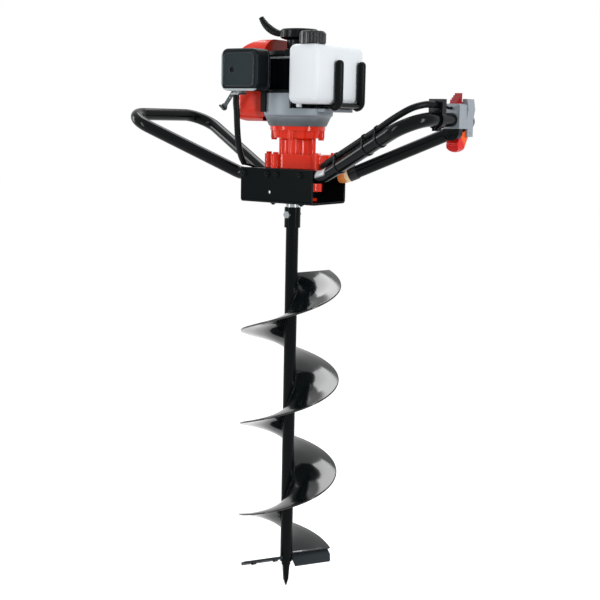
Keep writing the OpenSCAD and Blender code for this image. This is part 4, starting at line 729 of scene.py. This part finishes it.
@dataclass
class AugerBit(SubAssembly):
    """Digging bit: the tube with its wound flight, socket, blades and point.

    Attributes:
        pitch: Rise of the flight in one turn.
        phase_deg: Angle of the flight at the height of the origin.
        thickness: Thickness of the flight plate.
        steps_a_turn: Stations in one turn.
        edge_steps: Points round the flight's outer edge.
        flat_steps: Points across one of its flat sides.
        bead_r: Radius of the weld bead.
        bead_sides: Points round the bead.
        ripple: Share by which the bead's radius swells and shrinks.
        ripple_len: Length of one swelling of the bead.
    """

    looks = {
        BLACK_ENAMEL: ("auger_tube", "auger_socket", "pilot_point", "blade_bolts"),
        BLADE_BLACK: ("cutting_blades",),
        DULL_ZINC: ("drive_pin",),
        GROUND_STEEL: ("output_shaft", "output_gear"),
    }
    pitch: float = 192 * MM
    phase_deg: float = 295.0
    thickness: float = 4 * MM
    steps_a_turn: int = 144
    edge_steps: int = 7
    flat_steps: int = 4
    bead_r: float = 2.4 * MM
    bead_sides: int = 8
    ripple: float = 0.12
    ripple_len: float = 5 * MM

    def build(self) -> None:
        """Makes the flight and the weld bead along its root."""
        low, high = box_of("auger_flight")
        tube_low, tube_high = box_of("auger_tube")
        tube_r = (tube_high[0] - tube_low[0]) / 2
        outer = max(high[0], high[1], -low[0], -low[1])
        start, end = low[2], high[2] - self.thickness
        steps = round((end - start) / self.pitch * self.steps_a_turn)
        rise = np.linspace(start, end, steps)
        turn = np.radians(self.phase_deg) + 2 * np.pi * rise / self.pitch
        flight = grid_piece("flight_plate", self._plate(rise, turn, tube_r, outer))
        self.palette.place(flight, FLIGHT_GLOSS, "auger", "auger_flight")
        bead = grid_piece("flight_weld", self._bead(rise, turn, tube_r))
        self.palette.place(bead, BLACK_ENAMEL, "auger")

    def _plate(self, rise: Array, turn: Array, inner: float, outer: float) -> Array:
        """Winds the plate: its section turns with the height, one turn for each pitch, with a half-round rim.

        Args:
            rise: Height of the plate's lower face at each station.
            turn: Angle at each station.
            inner: Radius of the root.
            outer: Radius of the rim.

        Returns:
            Grid of points, one section in each row.
        """
        half = self.thickness / 2
        bow = np.linspace(-np.pi / 2, np.pi / 2, self.edge_steps)
        flat = np.linspace(inner, outer - half, self.flat_steps, endpoint=False)
        reach = np.concatenate([flat, outer - half + half * np.cos(bow), flat[::-1]])
        lift = np.concatenate([0 * flat, half + half * np.sin(bow), 0 * flat + self.thickness])
        x = reach[None, :] * np.cos(turn)[:, None]
        y = reach[None, :] * np.sin(turn)[:, None]
        return np.stack([x, y, rise[:, None] + lift[None, :]], axis=-1)

    def _bead(self, rise: Array, turn: Array, tube_r: float) -> Array:
        """Lays a bead along the flight's root: a circle carried up the helix, its radius rippled by a sine.

        Args:
            rise: Height of the plate's lower face at each station.
            turn: Angle at each station.
            tube_r: Radius of the tube.

        Returns:
            Grid of points, one ring in each row.
        """
        height = rise + self.thickness
        line = np.stack([tube_r * np.cos(turn), tube_r * np.sin(turn), height], axis=-1)
        length = np.hypot(tube_r * 2 * np.pi, self.pitch) * rise / self.pitch
        radii = self.bead_r * (1 + self.ripple * np.sin(2 * np.pi * length / self.ripple_len))
        return round_tube(line, radii, self.bead_sides, UP)


@dataclass
class DriveTrain(SubAssembly):
    """Gear case, clutch and the shafts inside them."""

    looks = {
        RED_ENAMEL: ("gear_case", "clutch_housing", "case_bolts", "housing_bolts"),
        GROUND_STEEL: ("layshaft", "layshaft_gear", "clutch_drum", "crankshaft"),
        DULL_ZINC: ("output_bearings", "drum_bearings"),
        SINTERED_BRONZE: ("layshaft_bushes",),
        BLASTED_CASTING: ("flywheel_fan", "clutch_shoes"),
        PLATE_BLACK: ("foot_bolts",),
    }


@dataclass
class HandleFrame(SubAssembly):
    """Channel and the two handle loops."""

    looks = {
        PLATE_BLACK: ("frame_channel", "handle_bolts"),
        TUBE_BLACK: ("left_handle",),
        LEG_BLACK: ("right_handle",),
        DULL_ZINC: ("handle_nuts",),
        ORANGE_MOULDED: ("leg_bush",),
    }


@dataclass
class Engine(SubAssembly):
    """Engine with its intake, exhaust and recoil starter.

    Attributes:
        pull_tilt_deg: Rise of the pull cord as it leaves the starter.
        cord_len: Length of cord that shows at rest.
        cord_r: Radius of the cord.
        cord_steps: Rings along the cord.
        cord_sides: Points round the cord.
        grip_len: Length of the grip along its curl.
        grip_curl_deg: Angle that the grip curls through.
        grip_r: Radius of the grip where the cord enters it.
        grip_swell: How much thicker the grip's middle is.
        grip_taper: How much thinner its far end is.
        ribs: Ribs along the grip.
        rib_h: Height of a rib.
        steps_a_rib: Rings along one rib.
        grip_sides: Points round the grip.
        end_share: Share of half the grip in which an end rounds off.
        end_least: Square of the share of the radius that is left at the tip.
    """

    looks = {
        BLASTED_CASTING: ("fan_housing", "cylinder"),
        BLACK_CASTING: ("crankcase",),
        RED_MOULDED: ("cylinder_shroud",),
        DARK_MOULDED: ("air_filter_cover", "air_filter_base"),
        BLACK_MOULDED: ("air_filter_knob", "starter_cover", "plug_cap", "insulator"),
        OPEN_FOAM: ("air_filter_foam",),
        DARK_ZINC: ("carburettor", "choke_lever"),
        DULL_ZINC: ("cable_bracket",),
        GLAZED_CERAMIC: ("spark_plug",),
        HEAT_COAT: ("muffler",),
    }
    pull_tilt_deg: float = 6.0
    cord_len: float = 14 * MM
    cord_r: float = 2 * MM
    cord_steps: int = 60
    cord_sides: int = 12
    grip_len: float = 64 * MM
    grip_curl_deg: float = 54.0
    grip_r: float = 5 * MM
    grip_swell: float = 2.2 * MM
    grip_taper: float = 0.6 * MM
    ribs: int = 14
    rib_h: float = 0.8 * MM
    steps_a_rib: int = 12
    grip_sides: int = 24
    end_share: float = 0.06
    end_least: float = 0.05

    def build(self) -> None:
        """Makes the pull cord and the ribbed grip, which moves with the pull."""
        low, high = box_of("starter_rope")
        tilt = math.radians(self.pull_tilt_deg)
        way = np.array([-math.cos(tilt), 0.0, math.sin(tilt)])
        middle = (low + high) / 2
        start, end = middle - way * self.cord_len / 2, middle + way * self.cord_len / 2
        line = start + np.linspace(0, 1, self.cord_steps)[:, None] * (end - start)
        radii = np.full(self.cord_steps, self.cord_r)
        cord = grid_piece("pull_cord", round_tube(line, radii, self.cord_sides, BACK))
        self.palette.paint(cord, BRAIDED_CORD)
        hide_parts("starter_rope")
        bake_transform(cord)
        grip = grid_piece("pull_grip", self._grip(end))
        self.palette.place(grip, SMOOTH_RUBBER, "pull", "starter_handle")

    def _grip(self, root: Array) -> Array:
        """Carries a circle along an arc that curls upwards, its radius a swelling, a taper and a row of ribs.

        Args:
            root: Where the cord enters the grip.

        Returns:
            Grid of points, one ring in each row.
        """
        share = np.linspace(0, 1, self.steps_a_rib * self.ribs + 1)
        tilt = math.radians(self.pull_tilt_deg)
        curl = math.radians(self.grip_curl_deg)
        arc_r = self.grip_len / curl
        angle = tilt + curl * share
        x = root[0] - arc_r * (np.sin(angle) - math.sin(tilt))
        z = root[2] + arc_r * (math.cos(tilt) - np.cos(angle))
        line = np.stack([x, np.full_like(x, root[1]), z], axis=-1)
        rib = self.rib_h * (1 - np.cos(2 * np.pi * self.ribs * share)) / 2
        past = np.clip((np.abs(2 * share - 1) - (1 - self.end_share)) / self.end_share, 0, 1)
        ends = np.sqrt(np.clip(1 - past**2, self.end_least, 1))
        radii = self.grip_r + self.grip_swell * np.sin(np.pi * share) - self.grip_taper * share + rib
        return round_tube(line, radii * ends, self.grip_sides, BACK)


@dataclass
class FuelTank(SubAssembly):
    """Fuel tank with its cap and the guard in front of it.

    Attributes:
        corner: Radius of the tank's edges.
        outlet_r: Radius of the outlet stub.
        outlet_h: Depth of the stub below the tank.
        outlet_x: Place of the stub, from the tank's inner face.
        outlet_y: Place of the stub, from the tank's near face.
        neck_r: Radius of the filler neck.
        neck_h: Height of the neck above the tank.
        sunk: How far the stub and the neck start inside the tank.
        break_edge: Size of their broken edges.
        bend_r: Radius of the guard's bend.
        tail: Length of a sleeve past the bend.
        tail_r: Radius of the sleeve's end.
        corner_steps: Points round a quarter of an edge.
        boss_sides: Points round the stub and the neck.
        sleeve_sides: Points round a sleeve.
    """

    looks = {CAP_GLOSS: ("fuel_cap",), TUBE_BLACK: ("tank_guard",)}
    corner: float = 13 * MM
    outlet_r: float = 5 * MM
    outlet_h: float = 6 * MM
    outlet_x: float = 15 * MM
    outlet_y: float = 20 * MM
    neck_r: float = 19 * MM
    neck_h: float = 12 * MM
    sunk: float = 2 * MM
    break_edge: float = 0.8 * MM
    bend_r: float = 10 * MM
    tail: float = 6.5 * MM
    tail_r: float = 4.6 * MM
    corner_steps: int = 9
    boss_sides: int = 72
    sleeve_sides: int = 36

    def build(self) -> None:
        """Makes the tank and the sleeves of its guard."""
        self._tank()
        self._guard()

    def _tank(self) -> None:
        """Makes the tank's moulded shell, with its outlet stub and filler neck."""
        low, high = box_of("fuel_tank")
        low[2] += self.outlet_h
        high[2] -= self.neck_h
        cap_low, cap_high = box_of("fuel_cap")
        shell = grid_piece("tank_shell", self._shell(low, high))
        outlet = self._boss(self.outlet_r, low[2] + self.sunk, low[2] - self.outlet_h)
        stub = grid_piece("tank_outlet", outlet + [low[0] + self.outlet_x, low[1] + self.outlet_y, 0.0])
        filler = self._boss(self.neck_r, high[2] - self.sunk, high[2] + self.neck_h)
        middle = (cap_low + cap_high) / 2
        neck = grid_piece("tank_neck", filler + [middle[0], middle[1], 0.0])
        for piece in (shell, stub, neck):
            self.palette.place(piece, WHITE_TANK, "machine", "fuel_tank")

    def _guard(self) -> None:
        """Makes the guard's two rubber sleeves."""
        low, high = box_of("guard_sleeves")
        radius = (high[0] - low[0]) / 2
        places = {"near_guard_sleeve": low[1] + radius, "far_guard_sleeve": high[1] - radius}
        for name, middle_y in places.items():
            foot = np.array([low[0] + radius, middle_y, low[2]])
            sleeve = grid_piece(name, self._sleeve(foot, high[2], radius))
            self.palette.place(sleeve, SMOOTH_RUBBER, "machine", "guard_sleeves")

    def _sleeve(self, foot: Array, top: float, radius: float) -> Array:
        """Draws a sleeve down a guard rod: half a ball, a straight run, a quarter turn and a narrowing tail.

        Args:
            foot: Point where the rod's bend starts.
            top: Height of the sleeve's tip.
            radius: Radius of the sleeve.

        Returns:
            Grid of points, one ring in each row.
        """
        quarter = np.linspace(0, np.pi / 2, self.corner_steps)
        share = np.linspace(0, 1, self.corner_steps)[1:]
        ball = quarter[1:]
        bend_along = -self.bend_r * (1 - np.cos(quarter))
        along = np.concatenate([0 * ball, bend_along, -self.bend_r - self.tail * share])
        ball_rise = top - foot[2] - radius * (1 - np.cos(ball))
        rise = np.concatenate([ball_rise, -self.bend_r * np.sin(quarter), 0 * share - self.bend_r])
        tail_radii = radius + (self.tail_r - radius) * share
        radii = np.concatenate([radius * np.sin(ball), 0 * quarter + radius, tail_radii])
        line = foot + np.stack([along, 0 * along, rise], axis=-1)
        return round_tube(line, radii, self.sleeve_sides, BACK)

    def _boss(self, radius: float, root: float, tip: float) -> Array:
        """Turns a profile about the upright axis: a plain side that ends in a broken edge.

        Args:
            radius: Radius of the side.
            root: Height where it starts.
            tip: Height where it ends.

        Returns:
            Grid of points, one ring in each row.
        """
        edge = math.copysign(self.break_edge, tip - root)
        radii = np.array([radius, radius, radius - self.break_edge])
        heights = np.array([root, tip - edge, tip])
        turn = np.linspace(0, 2 * np.pi, self.boss_sides, endpoint=False)
        rings = np.stack([np.cos(turn), np.sin(turn), 0 * turn], axis=-1)
        return radii[:, None, None] * rings + heights[:, None, None] * np.array(UP)

    def _shell(self, low: Array, high: Array) -> Array:
        """Rolls a ball over a block: each point is a corner of the block plus the ball's radius outwards.

        Args:
            low: Lowest corner of the tank.
            high: Highest corner.

        Returns:
            Grid of points, one level in each row.
        """
        quarter = np.linspace(0, np.pi / 2, self.corner_steps)
        round_about = (np.arange(4)[:, None] * np.pi / 2 + quarter[None, :]).ravel()
        corner_x = np.repeat([1.0, -1.0, -1.0, 1.0], self.corner_steps)
        corner_y = np.repeat([1.0, 1.0, -1.0, -1.0], self.corner_steps)
        level = np.concatenate([quarter - np.pi / 2, quarter])
        corner_z = np.repeat([-1.0, 1.0], self.corner_steps)
        ball = np.stack(
            np.broadcast_arrays(
                np.cos(level)[:, None] * np.cos(round_about)[None, :],
                np.cos(level)[:, None] * np.sin(round_about)[None, :],
                np.sin(level)[:, None],
            ),
            axis=-1,
        )
        signs = np.broadcast_arrays(corner_x[None, :], corner_y[None, :], corner_z[:, None])
        block = (high - low) / 2 - self.corner
        return (low + high) / 2 + np.stack(signs, axis=-1) * block + ball * self.corner


@dataclass
class ThrottleControl(SubAssembly):
    """Throttle grip on the handle and the cable that runs to it.

    Attributes:
        sleeve_r: Radius of the cable's sleeve.
        cable_r: Radius of the cable outside the sleeve.
        upper: Route of the sleeve from the carburettor to the channel, in millimetres.
        middle: Route of the bare cable through the channel.
        lower: Route of the sleeve along the handle to the throttle.
        last: Route of the bare cable into the throttle.
        samples: Samples between two points of a route.
        sides: Points round the cable.
        reference: Direction that no stretch of the cable runs along.
    """

    looks = {
        BLACK_MOULDED: ("throttle_clamp", "throttle_base", "cable_ties"),
        GREY_MOULDED: ("throttle_housing",),
        TRIGGER_RED: ("throttle_trigger",),
        DARK_RED_MOULDED: ("stop_switch",),
        DULL_ZINC: ("trigger_pin",),
    }
    sleeve_r: float = 6 * MM
    cable_r: float = 2.5 * MM
    upper: tuple[Point, ...] = (
        (-69.97, -95, 1001), (-69.97, -95, 985), (-67.97, -95, 968), (-67.97, -93, 940), (-73, -82, 908),
        (-79, -66, 884), (-82, -52, 870),
    )
    middle: tuple[Point, ...] = (
        (-82, -52, 870), (-82, -49, 868), (-79, -40, 866), (-73, -28, 862), (-62, -25, 855), (-50, -26, 845),
        (-36, -26, 840), (0, -26, 840), (40, -26, 840), (66, -26, 840), (80, -25, 848), (88, -27, 857),
        (92, -32, 867), (94, -35, 869),
    )
    lower: tuple[Point, ...] = (
        (94, -35, 869), (107.85, -44.21, 875.48), (139.15, -55.35, 890.04), (180.08, -69.92, 909.08),
        (216.20, -82.78, 925.88), (249.91, -94.78, 941.56), (288, -103, 962), (318, -98, 979),
        (333, -80, 986), (339, -62, 987), (339, -38, 987),
    )
    last: tuple[Point, ...] = (
        (339, -38, 987), (339, -36, 987), (339, -14, 985), (339, 0, 982), (339, 13, 982),
    )
    samples: int = 8
    sides: int = 20
    reference: Point = (-0.6, 0.5, 0.62)

    def build(self) -> None:
        """Makes the cable in four stretches, sleeved and bare by turns."""
        stretches = (
            ("cable_upper_sleeve", self.upper, self.sleeve_r, "hanging"),
            ("cable_core", self.middle, self.cable_r, "loose"),
            ("cable_lower_sleeve", self.lower, self.sleeve_r, "taut"),
            ("cable_end", self.last, self.cable_r, "taut"),
        )
        for name, route, radius, lay in stretches:
            line = smooth_line(np.array(route, float) * MM, self.samples)
            tube = round_tube(line, np.full(len(line), radius), self.sides, self.reference)
            piece = grid_piece(name, tube)
            self.palette.place(piece, SMOOTH_RUBBER, "machine", "throttle_cable")


# Studio


@dataclass(frozen=True)
class SoftBox:
    """Soft lamp with a flat face.

    Attributes:
        name: Name of the lamp.
        place: Where it stands, in metres.
        aim: What it points at.
        width: Width of its face.
        height: Height of its face.
        power: Power, in watts.
    """

    name: str
    place: Point
    aim: Point
    width: float
    height: float
    power: float

    def light(self) -> None:
        """Sets the lamp up."""
        lamp = bpy.data.lights.new(self.name, "AREA")
        lamp.shape = "RECTANGLE"
        lamp.size, lamp.size_y, lamp.energy = self.width, self.height, self.power
        stand = bpy.data.objects.new(self.name, lamp)
        stand.visible_camera = False
        stand.location = self.place
        way = Vector(self.aim) - Vector(self.place)
        stand.rotation_euler = way.to_track_quat("-Z", "Y").to_euler()
        bpy.context.scene.collection.objects.link(stand)


@dataclass
class Studio:
    """Camera, lamps, floor and background.

    Attributes:
        turn_deg: Turn of the camera round the object.
        pitch_deg: How far the camera looks down.
        roll_deg: Roll of the picture.
        distance: Distance of the camera from the bit's axis.
        sideways: Shift of the camera to its right.
        height: Height of the camera.
        lens: Focal length, in millimetres.
        sensor: Width of the sensor, in millimetres.
        floor_size: Width of the floor.
        floor_drop: How far the floor lies under the point.
        floor_colour: Colour of the floor.
        floor_roughness: Roughness of the floor.
        floor_lift: Light of the floor's own, seen by the eye and in reflections alone.
        ambient: Strength of the surrounding light.
        lamps: The soft lamps.
    """

    turn_deg: float = 35.254
    pitch_deg: float = 8.8014
    roll_deg: float = 1.1398
    distance: float = 2.31822
    sideways: float = 0.0182
    height: float = 0.95858
    lens: float = 70.387
    sensor: float = 36.0
    floor_size: float = 24.0
    floor_drop: float = 1 * MM
    floor_colour: Colour = (205, 205, 205)
    floor_roughness: float = 0.9
    floor_lift: float = 0.72
    ambient: float = 0.46
    lamps: tuple[SoftBox, ...] = (
        SoftBox("right_box", (2.35, -0.28, 1.35), (0.0, 0.0, 1.0), width=0.35, height=1.5, power=34.0),
        SoftBox("left_box", (-1.0, -2.12, 1.35), (0.0, 0.0, 1.0), width=0.35, height=1.5, power=25.0),
        SoftBox("top_box", (-0.65, 0.95, 2.7), (0.0, 0.0, 0.5), width=1.2, height=1.2, power=30.0),
        SoftBox("side_box", (-2.2, -0.45, 1.35), (0.0, 0.0, 0.95), width=0.5, height=1.2, power=15.0),
    )

    def build(self) -> None:
        """Sets up the camera, the lamps, the floor and the world."""
        self._camera()
        for lamp in self.lamps:
            lamp.light()
        self._floor()
        self._world()
        bpy.context.scene.view_settings.view_transform = "Standard"

    def _camera(self) -> None:
        """Places the camera at the photograph's angle."""
        turn, pitch, roll = (math.radians(a) for a in (self.turn_deg, self.pitch_deg, self.roll_deg))
        right = Vector((math.cos(turn), math.sin(turn), 0.0))
        ahead = Vector((-math.sin(turn), math.cos(turn), 0.0))
        forward = ahead * math.cos(pitch) - Vector((0, 0, math.sin(pitch)))
        up = right.cross(forward)
        across = right * math.cos(roll) + up * math.sin(roll)
        data = bpy.data.cameras.new("camera")
        data.lens, data.sensor_width = self.lens, self.sensor
        camera = bpy.data.objects.new("camera", data)
        turned = Matrix((across, (-forward).cross(across), -forward)).transposed()
        place = right * self.sideways - ahead * self.distance + Vector((0, 0, self.height))
        camera.matrix_world = Matrix.Translation(place) @ turned.to_4x4()
        bpy.context.scene.collection.objects.link(camera)
        bpy.context.scene.camera = camera

    def _floor(self) -> None:
        """Lays a plain pale floor, with a light of its own that does not fall on the object."""
        half, level = self.floor_size / 2, -self.floor_drop
        square = [(-half, -half, level), (half, -half, level), (half, half, level), (-half, half, level)]
        mesh = bpy.data.meshes.new("floor")
        mesh.from_pydata(square, [], [(0, 1, 2, 3)])
        paint = bpy.data.materials.new("floor_paint")
        paint.use_nodes = True
        sheet = NodeSheet(paint.node_tree)
        lift = sheet.math("MULTIPLY", self._seen(sheet), self.floor_lift)
        glow = {"Emission Color": WHITE, "Emission Strength": lift}
        plain = {"Base Color": linear(self.floor_colour), "Roughness": self.floor_roughness}
        shader = paint.node_tree.nodes["Principled BSDF"]
        sheet.feed(shader, {**plain, "Specular IOR Level": 0.0, **glow})
        mesh.materials.append(paint)
        floor = bpy.data.objects.new("floor", mesh)
        bpy.context.scene.collection.objects.link(floor)

    def _seen(self, sheet: NodeSheet) -> bpy.types.NodeSocket:
        """Marks the rays that show the background: from the camera, and off or through shiny surfaces.

        Args:
            sheet: The node tree that asks.

        Returns:
            A socket that is one for such a ray.
        """
        path = sheet.add("ShaderNodeLightPath")
        seen = sheet.math("ADD", path.outputs["Is Camera Ray"], path.outputs["Is Glossy Ray"])
        seen = sheet.math("ADD", seen, path.outputs["Is Transmission Ray"])
        return sheet.math("MINIMUM", seen, 1.0)

    def _world(self) -> None:
        """Makes the background white to the eye and in reflections, and dimmer as a light."""
        world = bpy.data.worlds.new("studio")
        world.use_nodes = True
        world.node_tree.nodes.clear()
        sheet = NodeSheet(world.node_tree)
        seen = self._seen(sheet)
        white = sheet.feed(sheet.add("ShaderNodeBackground"), {"Color": WHITE, "Strength": 1.0})
        dim = sheet.feed(sheet.add("ShaderNodeBackground"), {"Color": WHITE, "Strength": self.ambient})
        both = sheet.feed(sheet.add("ShaderNodeMixShader"), {0: seen, 1: dim.outputs[0], 2: white.outputs[0]})
        sheet.feed(sheet.add("ShaderNodeOutputWorld"), {"Surface": both.outputs[0]})
        bpy.context.scene.world = world


def main() -> None:
    """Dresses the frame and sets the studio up."""
    logging.basicConfig(level=logging.INFO, format="%(name)s: %(message)s")
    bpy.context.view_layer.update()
    Studio().build()
    palette = Palette()
    for maker in (ThrottleControl, AugerBit, DriveTrain, HandleFrame, Engine, FuelTank):
        part = maker(palette)
        part.build()
        part.dress()


if __name__ == "__main__":
    main()
